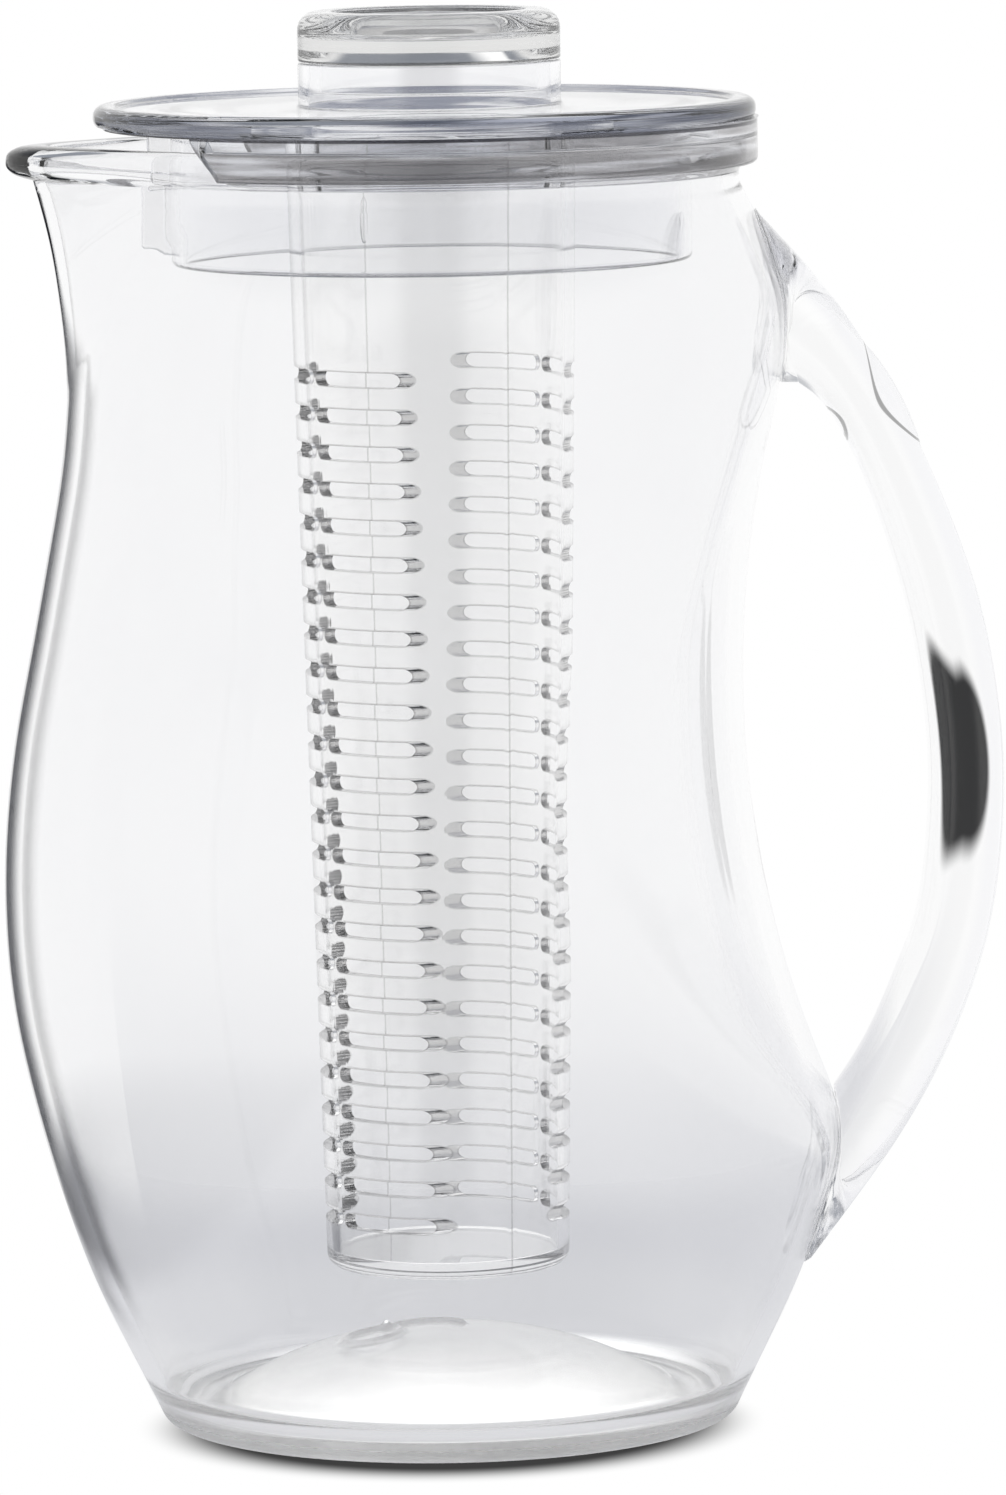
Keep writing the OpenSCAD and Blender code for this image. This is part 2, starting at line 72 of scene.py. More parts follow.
class Value:
    """A shader socket or a number, with the arithmetic that adds Math nodes."""

    def __init__(self, shader: "Shader", socket: bpy.types.NodeSocket) -> None:
        """Wraps a socket.

        Args:
            shader: Builder that adds the nodes.
            socket: Output socket that holds the value.
        """
        self.shader = shader
        self.socket = socket

    def _math(self, operation: str, *values: "Value | float") -> "Value":
        """Adds one Math node."""
        return self.shader.node("ShaderNodeMath", {"operation": operation}, dict(enumerate(values)))

    def out(self, key: int | str) -> "Value":
        """Another output of the same node, by number or name."""
        return Value(self.shader, self.socket.node.outputs[key])

    def __add__(self, other: "Value | float") -> "Value":
        """Sum."""
        return self._math("ADD", self, other)

    __radd__ = __add__

    def __sub__(self, other: "Value | float") -> "Value":
        """Difference."""
        return self._math("SUBTRACT", self, other)

    def __rsub__(self, other: float) -> "Value":
        """Difference from a number."""
        return self._math("SUBTRACT", other, self)

    def __mul__(self, other: "Value | float") -> "Value":
        """Product."""
        return self._math("MULTIPLY", self, other)

    __rmul__ = __mul__

    def __truediv__(self, other: "Value | float") -> "Value":
        """Quotient."""
        return self._math("DIVIDE", self, other)

    def __pow__(self, power: float) -> "Value":
        """Power."""
        return self._math("POWER", self, power)

    def __abs__(self) -> "Value":
        """Size without its sign."""
        return self._math("ABSOLUTE", self)

    def between(self, low: float, high: float) -> "Value":
        """Smooth share from 0 at low to 1 at high.

        Args:
            low: Value that gives 0.
            high: Value that gives 1.

        Returns:
            The eased share.
        """
        settings = {"interpolation_type": "SMOOTHSTEP"}
        ends = {"From Min": low, "From Max": high, "To Min": 0.0, "To Max": 1.0}
        return self.shader.node("ShaderNodeMapRange", settings, {"Value": self, **ends}).out("Result")

    def __mod__(self, step: float) -> "Value":
        """Rest of a division."""
        return self._math("FLOORED_MODULO", self, step)

    def near(self, place: float, close: float, far: float) -> "Value":
        """Smooth share from 1 close to a place to 0 far from it.

        Args:
            place: The place.
            close: Distance up to which the share is 1.
            far: Distance from which it is 0.

        Returns:
            The eased share.
        """
        return 1 - abs(self - place).between(close, far)

    def most(self, other: "Value | float") -> "Value":
        """The larger of two values."""
        return self._math("MAXIMUM", self, other)

    def hypot(self, other: "Value") -> "Value":
        """Length of the arrow that has these two values across and along."""
        return (self ** 2.0 + other ** 2.0) ** 0.5

    def inside(self, band: Band) -> "Value":
        """Smooth share that rises over the band's first two values and falls over its last two."""
        return self.between(*band[:2]) * (1 - self.between(*band[2:]))

    def turn_to(self, other: "Value") -> "Value":
        """Angle in degrees of the arrow that has this value across and the other one along."""
        return self._math("ARCTAN2", self, other) * math.degrees(1)

    def slope(self) -> "Value":
        """Angle in degrees whose sine this is."""
        return self._math("ARCSINE", self) * math.degrees(1)


class Shader:
    """Node tree of a material or of the world, built with one method."""

    def __init__(self, tree: bpy.types.NodeTree) -> None:
        """Empties the tree.

        Args:
            tree: The node tree to fill.
        """
        self.tree = tree
        tree.nodes.clear()

    def node(self, kind: str, settings: dict | None = None, inputs: dict | None = None) -> Value:
        """Adds a node.

        Args:
            kind: Blender's type name of the node.
            settings: Properties that are set first.
            inputs: Numbers, colours or wrapped sockets, by input name or number.

        Returns:
            The node's first output, or its first input where it has no output.
        """
        made = self.tree.nodes.new(kind)
        for name, value in (settings or {}).items():
            setattr(made, name, value)
        for key, value in (inputs or {}).items():
            socket = made.inputs[key]
            if isinstance(value, Value):
                self.tree.links.new(value.socket, socket)
            else:
                socket.default_value = value
        return Value(self, (list(made.outputs) or list(made.inputs))[0])

    def mix(self, share: Value, low: Colour | Value, high: Colour | Value) -> Value:
        """Mixes two colours.

        Args:
            share: 0 for the first colour, 1 for the second.
            low: First colour.
            high: Second colour.

        Returns:
            The mixed colour.
        """
        ends = [c if isinstance(c, Value) else (*c, 1.0) for c in (low, high)]
        made = self.node("ShaderNodeMix", {"data_type": "RGBA"}, {0: share, 6: ends[0], 7: ends[1]})
        return made.out(2)

    def vector(self, operation: str, *values: Value | Sequence[float]) -> Value:
        """Adds one Vector Math node, whose number, where it has one, is its output "Value"."""
        return self.node("ShaderNodeVectorMath", {"operation": operation}, dict(enumerate(values)))

    def attribute(self, name: str) -> Value:
        """Number that the mesh carries under a name."""
        return self.node("ShaderNodeAttribute", {"attribute_name": name}).out("Fac")

    def edge_on(self, band: Range) -> Value:
        """Share of the plastic that is seen edge on, which rises over a band of Layer Weight."""
        return self.node("ShaderNodeLayerWeight", {}, {"Blend": 0.5}).out("Facing").between(*band)

    def object_point(self) -> Value:
        """Point on the piece in its own frame."""
        return self.node("ShaderNodeTexCoord").out("Object")

    def split(self, point: Value) -> tuple[Value, Value, Value]:
        """The three coordinates of a point."""
        made = self.node("ShaderNodeSeparateXYZ", {}, {0: point})
        return made, made.out("Y"), made.out("Z")

    def noise(self, point: Value, size: float, detail: float = 2.0, stretch: float = 1.0) -> Value:
        """Even noise from 0 to 1.

        Args:
            point: Place that the noise is read at.
            size: Size of one blotch in metres.
            detail: Number of finer layers.
            stretch: How much longer a blotch is along Z.

        Returns:
            The noise value.
        """
        scaled = self.node("ShaderNodeMapping", {}, {"Vector": point, "Scale": (1.0, 1.0, 1.0 / stretch)})
        return self.node("ShaderNodeTexNoise", {}, {"Vector": scaled, "Scale": 1.0 / size, "Detail": detail})

    def glow(self, colour: Colour | Value, strength: float = 1.0, clear: Value | None = None) -> None:
        """Makes the surface glow, and see-through where asked.

        Args:
            colour: Colour of the glow.
            strength: Its strength.
            clear: Share that is see-through, or None.
        """
        colour = colour if isinstance(colour, Value) else (*colour, 1.0)
        surface = self.node("ShaderNodeEmission", {}, {"Color": colour, "Strength": strength})
        if clear is not None:
            nothing = self.node("ShaderNodeBsdfTransparent")
            surface = self.node("ShaderNodeMixShader", {}, {0: clear, 1: surface, 2: nothing})
        self.node("ShaderNodeOutputMaterial", {}, {"Surface": surface})


@dataclass(frozen=True)
class ClearPlastic:
    """Polished clear acrylic with its faint colour, smears and flow waves."""

    name: str
    tint: Colour = (0.975, 0.975, 0.975)
    smear_tint: Colour = (0.96, 0.96, 0.96)
    ior: float = 1.49
    smear_roughness: float = 0.012
    smear_size: float = 0.03
    wave_size: float = 0.022
    wave_height: float = 0.000004

    def colour(self, shader: Shader, point: Value, smear: Value) -> Value:
        """Colour of the plastic over the piece.

        Args:
            shader: Builder of the material's nodes.
            point: Place on the piece, which is not used here.
            smear: Share of smears there.

        Returns:
            The colour.
        """
        return shader.mix(smear, self.tint, self.smear_tint)

    def roughness(self, shader: Shader, point: Value, smear: Value) -> Value:
        """Roughness over the piece, from the same values as the colour."""
        return smear * self.smear_roughness

    def material(self) -> bpy.types.Material:
        """Builds the material.

        Returns:
            The new material.
        """
        made = bpy.data.materials.new(self.name)
        made.use_nodes = True
        shader = Shader(made.node_tree)
        point = shader.object_point()
        smear = shader.noise(point, self.smear_size, 3.0).between(0.45, 0.75)
        relief = shader.noise(point, self.wave_size, 1.0, 1.8) * self.wave_height
        normal = shader.node("ShaderNodeBump", {}, {"Strength": 1.0, "Distance": 1.0, "Height": relief})
        plastic = shader.node("ShaderNodeBsdfPrincipled", {}, {
            "Base Color": self.colour(shader, point, smear),
            "Roughness": self.roughness(shader, point, smear),
            "Normal": normal, "IOR": self.ior, "Transmission Weight": 1.0,
        })
        shader.node("ShaderNodeOutputMaterial", {}, {"Surface": plastic})
        return made


@dataclass(frozen=True)
class JugPlastic(ClearPlastic):
    """The shell's plastic, greyed low down by painted shade and darkened by a painted reflection at its edge
    on the spout side.
    """

    # Painted shade that greys the wall low down.
    painted_low_shade: Colour = (0.91, 0.912, 0.922)
    low_band: Range = (0.03, 0.10)
    foot_tint: Colour = (0.975, 0.975, 0.972)
    foot_band: Range = (0.015, 0.027)
    # Painted reflection that darkens the wall where it is seen edge on at the spout side.
    painted_edge_shade: Colour = (0.08, 0.08, 0.085)
    edge_facing: Range = (0.70, 0.85)
    edge_band: Range = (0.012, 0.03)
    edge_side: Range = (0.0, 0.03)
    worn_band: Range = (0.0025, 0.005)
    worn_roughness: float = 0.28
    frost_r: Range = (0.0, 0.001)
    frost_z: Range = (0.0, 0.001)
    frost_roughness: float = 0.2

    def colour(self, shader: Shader, point: Value, smear: Value) -> Value:
        """Colour of the wall, greyed low down by painted shade and darkened by a painted reflection where it
        turns away on the spout side, with the clear foot.
        """
        x, _, height = shader.split(point)
        # Painted shade: the wall turns greyer low down.
        wall = shader.mix(height.between(*self.low_band), self.painted_low_shade, super().colour(shader, point, smear))
        # Painted reflection: dark where the wall is seen edge on, on the spout side only.
        edge = shader.edge_on(self.edge_facing)
        edge = edge * height.between(*self.edge_band) * (0 - x).between(*self.edge_side)
        wall = shader.mix(edge, wall, self.painted_edge_shade)
        return shader.mix(height.between(*self.foot_band), self.foot_tint, wall)

    def roughness(self, shader: Shader, point: Value, smear: Value) -> Value:
        """Roughness of the wall, with the worn ring that it stands on and the frosted dome."""
        x, y, z = shader.split(point)
        worn = (1 - z.between(*self.worn_band)) * self.worn_roughness
        frost = (1 - x.hypot(y).between(*self.frost_r)) * (1 - z.between(*self.frost_z))
        return smear * self.smear_roughness + worn.most(frost * self.frost_roughness)


@dataclass(frozen=True)
class CapPlastic(ClearPlastic):
    """The cap's plastic, whose thick head is greyed by painted shade so that it looks greyer than its plug.
    """

    joint_z: float = 0.0
    # Painted shade: a dark line where the head sits on the neck.
    painted_joint_shade: Colour = (0.12, 0.12, 0.12)
    plug_tint: Colour = (0.985, 0.985, 0.985)
    plug_end: Range = (-0.0002, 0.0002)
    joint_line: Place = (0.0003, 0.0002, 0.0004)

    def colour(self, shader: Shader, point: Value, smear: Value) -> Value:
        """Colour of the head, with the clearer plug and a painted dark line of shade at the joint."""
        height = shader.split(point)[2] - self.joint_z
        head = super().colour(shader, point, smear)
        colour = shader.mix(height.between(*self.plug_end), self.plug_tint, head)
        # Painted shade: the dark line at the joint.
        return shader.mix(height.near(*self.joint_line), colour, self.painted_joint_shade)


@dataclass(frozen=True)
class LidPlastic(ClearPlastic):
    """The lid's plastic, whose thick rim and skirt are darkened and streaked from outside by painted shade
    and painted reflections.
    """

    rim_z: float = 0.0
    rim_h: float = 0.0
    rim_r: float = 0.0
    # Painted shade and painted reflections for the rim and the skirt, and the painted dark line under the
    # rim.
    painted_rim_shade: Colour = (0.09, 0.10, 0.14)
    painted_streak_light: Colour = (0.86, 0.87, 0.90)
    painted_skirt_shade: Colour = (0.34, 0.335, 0.34)
    painted_line_shade: Colour = (0.015, 0.015, 0.02)
    line_h: float = 0.00045
    streak: Range = (0.045, 0.0022)
    collar_z: float = 0.0
    collar_r: float = 0.05
    # Painted shade: a grey line round the lower end of the collar.
    painted_collar_shade: Colour = (0.42, 0.42, 0.43)
    tab_tint: Colour = (0.93, 0.93, 0.935)
    tab_w: float = 0.0022
    tab_sides: Range = (0.5, 0.55)
    tab_reach: Range = (1.0, 1.01)
    line_shares: Range = (0.6, 1.0)
    skin_depth: float = 0.0006
    soft_line: float = 0.0002
    rim_streaks: Range = (0.44, 0.74)
    skirt_streaks: Range = (0.42, 0.70)
    rim_shares: Range = (0.8, 0.98)
    collar_near: Place = (0.0004, 0.0002, 0.0005)

    def colour(self, shader: Shader, point: Value, smear: Value) -> Value:
        """Colour of the disc and the collar, with painted shade and painted streaks of reflection on the rim
        and the skirt, a painted dark line of shade between them, a painted grey line of shade round the lower
        end of the collar and a slightly greyer tab.
        """
        x, y, z = shader.split(point)
        up = z - self.rim_z
        outside = x.hypot(y).between(self.rim_r - self.skin_depth, self.rim_r)
        width, height = self.streak
        scale = (1 / width, 1 / width, 1 / height)
        place = shader.node("ShaderNodeMapping", {}, {"Vector": point, "Scale": scale})
        streaks = shader.node("ShaderNodeTexNoise", {}, {"Vector": place, "Scale": 1.0, "Detail": 3.0})
        # Painted shade and painted streaks of reflection on the rim and the skirt.
        rim = shader.mix(streaks.between(*self.rim_streaks), self.painted_rim_shade, self.painted_streak_light)
        skirt = shader.mix(streaks.between(*self.skirt_streaks), self.painted_skirt_shade, self.painted_streak_light)
        low, high = (share * self.rim_h for share in self.rim_shares)
        colour = shader.mix((1 - up.between(low, high)) * outside, super().colour(shader, point, smear), rim)
        colour = shader.mix((1 - up.between(-self.soft_line, self.soft_line)) * outside, colour, skirt)
        # Painted shade: a grey line round the lower end of the collar.
        colour = shader.mix((z - self.collar_z).near(*self.collar_near), colour, self.painted_collar_shade)
        tab = y.near(0.0, *(share * self.tab_w for share in self.tab_sides))
        tab = tab * (0 - x).between(*(share * self.collar_r for share in self.tab_reach))
        tab = tab * (1 - up.between(-self.soft_line, 0.0)) * (1 - outside)
        # Painted shade: a dark line under the rim.
        line = up.near(0.0, *(share * self.line_h for share in self.line_shares)) * outside
        return shader.mix(line, shader.mix(tab, colour, self.tab_tint), self.painted_line_shade)


@dataclass(frozen=True)
class GripPlastic(ClearPlastic):
    """The grip's plastic, faintly blue on its outer side from painted shade, and cloudy where it is bonded to
    the shell.
    """

    # Painted shade that turns the outer side faintly blue.
    painted_outer_shade: Colour = (0.925, 0.925, 0.95)
    bond_tint: Colour = (0.24, 0.245, 0.26)
    bond_roughness: float = 0.22
    bond_size: float = 0.004
    bond_band: Range = (0.40, 0.60)
    outer_band: Range = (0.25, 0.6)
    rest_at: Place = (0.0, 0.0, 0.0)
    rest_along: Place = (1.0, 0.0, 0.0)
    rest_size: Range = (0.01, 0.01)
    rest_depth: float = 0.008
    rest_round: float = 2.4
    line_w: float = 0.04
    # Painted shade: the dark line round the thumb rest.
    painted_line_shade: Colour = (0.15, 0.15, 0.15)

    def cloud(self, shader: Shader, point: Value) -> Value:
        """Share of cloudy bond at each place."""
        cloud = shader.noise(point, self.bond_size, 3.0, 3.5).between(*self.bond_band)
        return shader.attribute("bond") * cloud

    def rest_line(self, shader: Shader, point: Value) -> Value:
        """Share of the painted dark line of shade that bounds the thumb rest."""
        off = shader.vector("SUBTRACT", point, self.rest_at)
        ways = (self.rest_along, (self.rest_along[2], 0.0, -self.rest_along[0]))
        along, depth = (shader.vector("DOT_PRODUCT", off, way).out("Value") for way in ways)
        across = abs(shader.split(off)[1]) / self.rest_size[1]
        ring = ((along / self.rest_size[0]) ** 2.0 + across ** self.rest_round) ** 0.5
        line = ring.near(1.0, 0.5 * self.line_w, self.line_w)
        return line * depth.near(0.0, self.rest_depth, 1.1 * self.rest_depth)

    def colour(self, shader: Shader, point: Value, smear: Value) -> Value:
        """Colour of the grip, with painted shade on its outer side, its bonds and a painted dark line of
        shade round its thumb rest.
        """
        outer = shader.attribute("outer").between(*self.outer_band)
        # Painted shade on the outer side.
        colour = shader.mix(outer, super().colour(shader, point, smear), self.painted_outer_shade)
        colour = shader.mix(self.cloud(shader, point), colour, self.bond_tint)
        # Painted shade: the dark line round the thumb rest.
        return shader.mix(self.rest_line(shader, point), colour, self.painted_line_shade)

    def roughness(self, shader: Shader, point: Value, smear: Value) -> Value:
        """Roughness of the grip, with its bonds."""
        return smear * self.smear_roughness + self.cloud(shader, point) * self.bond_roughness


@dataclass(frozen=True)
class TubePlastic(ClearPlastic):
    """The tube's plastic, greyed by painted shade along the edges of its slots and the lines of its mould,
    and darkened by a painted reflection at its edge on the spout side.
    """

    turn: float = 0.0
    first_z: float = 0.0
    pitch: float = 0.007
    rows: int = 1
    slot_h: float = 0.003
    slot_ends: Range = (0.0, 0.0)
    # Painted shade for the slot edges and the mould lines, and a painted reflection for the edge on the spout
    # side.
    painted_slot_shade: Colour = (0.56, 0.555, 0.55)
    painted_mould_shade: Colour = (0.55, 0.55, 0.54)
    outer_r: float = 0.0
    taper: float = 0.0
    painted_side_shade: Colour = (0.42, 0.42, 0.43)
    side_facing: Range = (0.72, 0.88)
    side_band: Range = (0.0, 0.01)
    line: Range = (0.0001, 0.0003)
    skin_band: Range = (0.0006, 0.001)

    def colour(self, shader: Shader, point: Value, smear: Value) -> Value:
        """Colour of the tube, with painted shade along the edges of its slots and along its mould lines, and
        a painted reflection where it is seen edge on at the spout side.
        """
        x, y, z = shader.split(point)
        along = abs(x * math.cos(self.turn) + y * math.sin(self.turn))
        side = abs(y * math.cos(self.turn) - x * math.sin(self.turn))
        near, far = self.slot_ends
        past = (abs(side - (near + far) / 2) - (far - near) / 2).most(0.0)
        rise = ((z - self.first_z) / self.pitch + 0.5) % 1.0 * self.pitch - self.pitch / 2
        edge = past.hypot(rise).near(self.slot_h / 2, *self.line)
        middle, half = self.first_z + (self.rows - 1) * self.pitch / 2, self.rows * self.pitch / 2
        edge = edge * z.near(middle, half - self.line[0] * 2, half)
        depth = z * self.taper + self.outer_r - x.hypot(y)
        mould = along.near(0.0, *self.line) * (1 - depth.between(*self.skin_band))
        # Painted reflection: dark where the tube is seen edge on, on the spout side.
        turned = shader.edge_on(self.side_facing) * (0 - x).between(*self.side_band)
        colour = shader.mix(turned, super().colour(shader, point, smear), self.painted_side_shade)
        # Painted shade along the mould lines.
        colour = shader.mix(mould, colour, self.painted_mould_shade)
        # Painted shade along the edges of the slots.
        return shader.mix(edge, colour, self.painted_slot_shade)


# Mesh helpers


def smooth_curve(points: Sequence[Point], step: float, width: float) -> tuple[np.ndarray, np.ndarray]:
    """Samples a smooth curve through given points and eases its bends.

    Args:
        points: Places as (position, value), in rising position.
        step: Distance between two samples.
        width: Width of the easing.

    Returns:
        Positions and values of the samples.
    """
    xs = np.array([p[0] for p in points])
    ys = np.array([p[1] for p in points])
    slopes = np.gradient(ys, xs)
    at = np.arange(xs[0], xs[-1] + step / 2, step)
    i = np.clip(np.searchsorted(xs, at, side="right") - 1, 0, len(xs) - 2)
    gap = xs[i + 1] - xs[i]
    t = (at - xs[i]) / gap
    values = (
        (2 * t**3 - 3 * t**2 + 1) * ys[i] + (t**3 - 2 * t**2 + t) * gap * slopes[i]
        + (3 * t**2 - 2 * t**3) * ys[i + 1] + (t**3 - t**2) * gap * slopes[i + 1]
    )
    reach = max(1, int(3 * width / step))
    kernel = np.exp(-0.5 * (np.arange(-reach, reach + 1) * step / width) ** 2)
    kernel /= kernel.sum()
    before = values[0] + (values[0] - values[1 : reach + 1][::-1])
    after = values[-1] + (values[-1] - values[-reach - 1 : -1][::-1])
    return at, np.convolve(np.concatenate([before, values, after]), kernel, mode="valid")


def bent(start: Point, pull: Point, end: Point, steps: int) -> list[tuple[float, float, float]]:
    """Points of a bend between two places of a section.

    Args:
        start: First place, as radius and height.
        pull: The corner that the bend rounds.
        end: Last place.
        steps: Number of steps.

    Returns:
        The points, with the depth share of what stays round.
    """
    a, b, c = Vector(start), Vector(pull), Vector(end)
    shares = [i / steps for i in range(steps + 1)]
    places = [(1 - t) ** 2 * a + 2 * t * (1 - t) * b + t**2 * c for t in shares]
    return [(place.x, place.y, -1.0) for place in places]


def arc(centre: Point, radius: float, first: float, last: float, steps: int = 8) -> list[Point]:
    """Points of an arc.

    Args:
        centre: Its centre.
        radius: Its radius.
        first: Angle of its first point, in degrees.
        last: Angle of its last point.
        steps: Number of steps.

    Returns:
        The points.
    """
    turns = [math.radians(first + (last - first) * i / steps) for i in range(steps + 1)]
    return [(centre[0] + radius * math.cos(q), centre[1] + radius * math.sin(q)) for q in turns]


def rounded_end(middle: float, low: float, thickness: float, steps: int = 8) -> list[Point]:
    """Half circle that ends a hanging wall, from its outer to its inner side.

    Args:
        middle: Radius of the wall's middle.
        low: Height of the wall's lowest point.
        thickness: Thickness of the wall.
        steps: Number of steps.

    Returns:
        The points, as radius and height.
    """
    half = thickness / 2
    return arc((middle, low + half), half, 0, -180, steps)


def spin_round(bm: bmesh.types.BMesh, geometry: list, steps: int) -> None:
    """Spins points and edges through a full turn round the Z axis and closes the result."""
    bmesh.ops.spin(
        bm, geom=geometry, cent=(0, 0, 0), axis=(0, 0, 1), angle=math.tau, steps=steps, use_merge=True
    )
    tidy(bm)


def spun(section: Iterable[Point], segments: int) -> bmesh.types.BMesh:
    """Spins a closed section round the Z axis.

    Args:
        section: Points as (radius, height).
        segments: Number of steps of the full turn.

    Returns:
        The closed mesh, with its faces pointing outwards.
    """
    bm = bmesh.new()
    verts = [bm.verts.new((r, 0.0, z)) for r, z in section]
    pairs = zip(verts, verts[1:] + verts[:1])
    edges = [bm.edges.new(pair) for pair in pairs if max(v.co.x for v in pair) > 0]
    spin_round(bm, verts + edges, segments)
    return bm


def turn_round(bm: bmesh.types.BMesh, angle: float) -> None:
    """Turns a mesh about the Z axis by an angle in degrees."""
    matrix = Matrix.Rotation(math.radians(angle), 3, "Z")
    bmesh.ops.rotate(bm, verts=bm.verts[:], cent=(0, 0, 0), matrix=matrix)


def tidy(bm: bmesh.types.BMesh, merge: float = 0.002 * MM) -> None:
    """Merges doubles, drops slivers and turns the faces outwards."""
    bmesh.ops.remove_doubles(bm, verts=bm.verts[:], dist=merge)
    bmesh.ops.dissolve_degenerate(bm, edges=bm.edges[:], dist=merge / 2)
    bmesh.ops.recalc_face_normals(bm, faces=bm.faces[:])


def soften(
    bm: bmesh.types.BMesh, width: float, keep: Callable[[Vector], bool] | None = None, segments: int = 3,
) -> None:
    """Rounds the sharp edges of a mesh.

    Args:
        bm: The mesh.
        width: Width of the rounding.
        keep: Says from an edge's middle whether the edge is rounded, or None for all.
        segments: Number of faces across the rounding.
    """
    chosen = [
        e for e in bm.edges
        if len(e.link_faces) == 2 and e.calc_face_angle(0.0) > SHARP
        and (keep is None or keep((e.verts[0].co + e.verts[1].co) / 2))
    ]
    bmesh.ops.bevel(
        bm, geom=chosen, offset=width, offset_type="OFFSET", affect="EDGES", segments=segments, profile=0.5,
        material=-1, clamp_overlap=True,
    )


def finished(name: str, bm: bmesh.types.BMesh, smooth_angle: float = 30.0) -> bpy.types.Object:
    """Makes an object of a mesh.

    Args:
        name: Name of the piece.
        bm: The mesh, which is freed.
        smooth_angle: Angle in degrees past which an edge stays sharp.

    Returns:
        The object, at the origin.
    """
    mesh = bpy.data.meshes.new(name)
    bm.to_mesh(mesh)
    bm.free()
    mesh.polygons.foreach_set("use_smooth", [True] * len(mesh.polygons))
    mesh.set_sharp_from_angle(angle=math.radians(smooth_angle))
    made = bpy.data.objects.new(name, mesh)
    bpy.context.scene.collection.objects.link(made)
    return made


def even_shading(piece: bpy.types.Object) -> None:
    """Lets wide faces keep their own direction, so that small roundings do not bend the light in them."""
    step = piece.modifiers.new("even_shading", "WEIGHTED_NORMAL")
    step.mode = "FACE_AREA"
    step.weight = 100
    step.keep_sharp = True


def block(low: Vector, high: Vector, turn: float = 0.0) -> bmesh.types.BMesh:
    """A box between two corners, turned about the Z axis by an angle in degrees."""
    bm = bmesh.new()
    placed = Matrix.Rotation(math.radians(turn), 4, "Z") @ Matrix.Translation((low + high) / 2)
    bmesh.ops.create_cube(bm, size=1.0, matrix=placed @ Matrix.Diagonal((*(high - low), 1.0)))
    return bm


def upright(middle: Vector, size: Vector) -> bmesh.types.BMesh:
    """A flat upright rectangle that faces along Y."""
    bm = bmesh.new()
    placed = Matrix.Translation(middle) @ Matrix.Diagonal((size.x, 1.0, size.z, 1.0))
    matrix = placed @ Matrix.Rotation(math.pi / 2, 4, "X")
    bmesh.ops.create_grid(bm, x_segments=1, y_segments=1, size=0.5, matrix=matrix)
    return bm


def joined(parts: Iterable[bmesh.types.BMesh]) -> bmesh.types.BMesh:
    """Puts several meshes into one and frees them."""
    whole = bmesh.new()
    for part in parts:
        mesh = bpy.data.meshes.new("part")
        part.to_mesh(mesh)
        part.free()
        whole.from_mesh(mesh)
        bpy.data.meshes.remove(mesh)
    return whole


def combined(base: bmesh.types.BMesh, tool: bmesh.types.BMesh, operation: str) -> bmesh.types.BMesh:
    """Cuts one mesh with another, or joins them, exactly.

    Args:
        base: The mesh that stays, which is freed.
        tool: The cutter or the addition, which is freed.
        operation: UNION or DIFFERENCE.

    Returns:
        The result.
    """
    base_object = finished("base", base)
    tool_object = finished("tool", tool)
    step = base_object.modifiers.new("cut", "BOOLEAN")
    step.operation = operation
    step.solver = "EXACT"
    step.use_self = False
    step.object = tool_object
    graph = bpy.context.evaluated_depsgraph_get()
    mesh = bpy.data.meshes.new_from_object(base_object.evaluated_get(graph))
    result = bmesh.new()
    result.from_mesh(mesh)
    for used in (base_object, tool_object):
        data = used.data
        bpy.data.objects.remove(used)
        bpy.data.meshes.remove(data)
    bpy.data.meshes.remove(mesh)
    return result


def seat(piece: bpy.types.Object, node: str, body: Body, finish: ClearPlastic) -> bpy.types.Object:
    """Gives a piece its finish and its place in the frame.

    Args:
        piece: The finished piece.
        node: CAD node that it stands for.
        body: Body that it rides on.
        finish: Its finish.

    Returns:
        The piece.
    """
    even_shading(piece)
    piece.data.materials.append(finish.material())
    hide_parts(node)
    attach(piece, body.value)
    LOG.info("%s: %d faces on body %s", piece.name, len(piece.data.polygons), body.value)
    return piece


# Jug


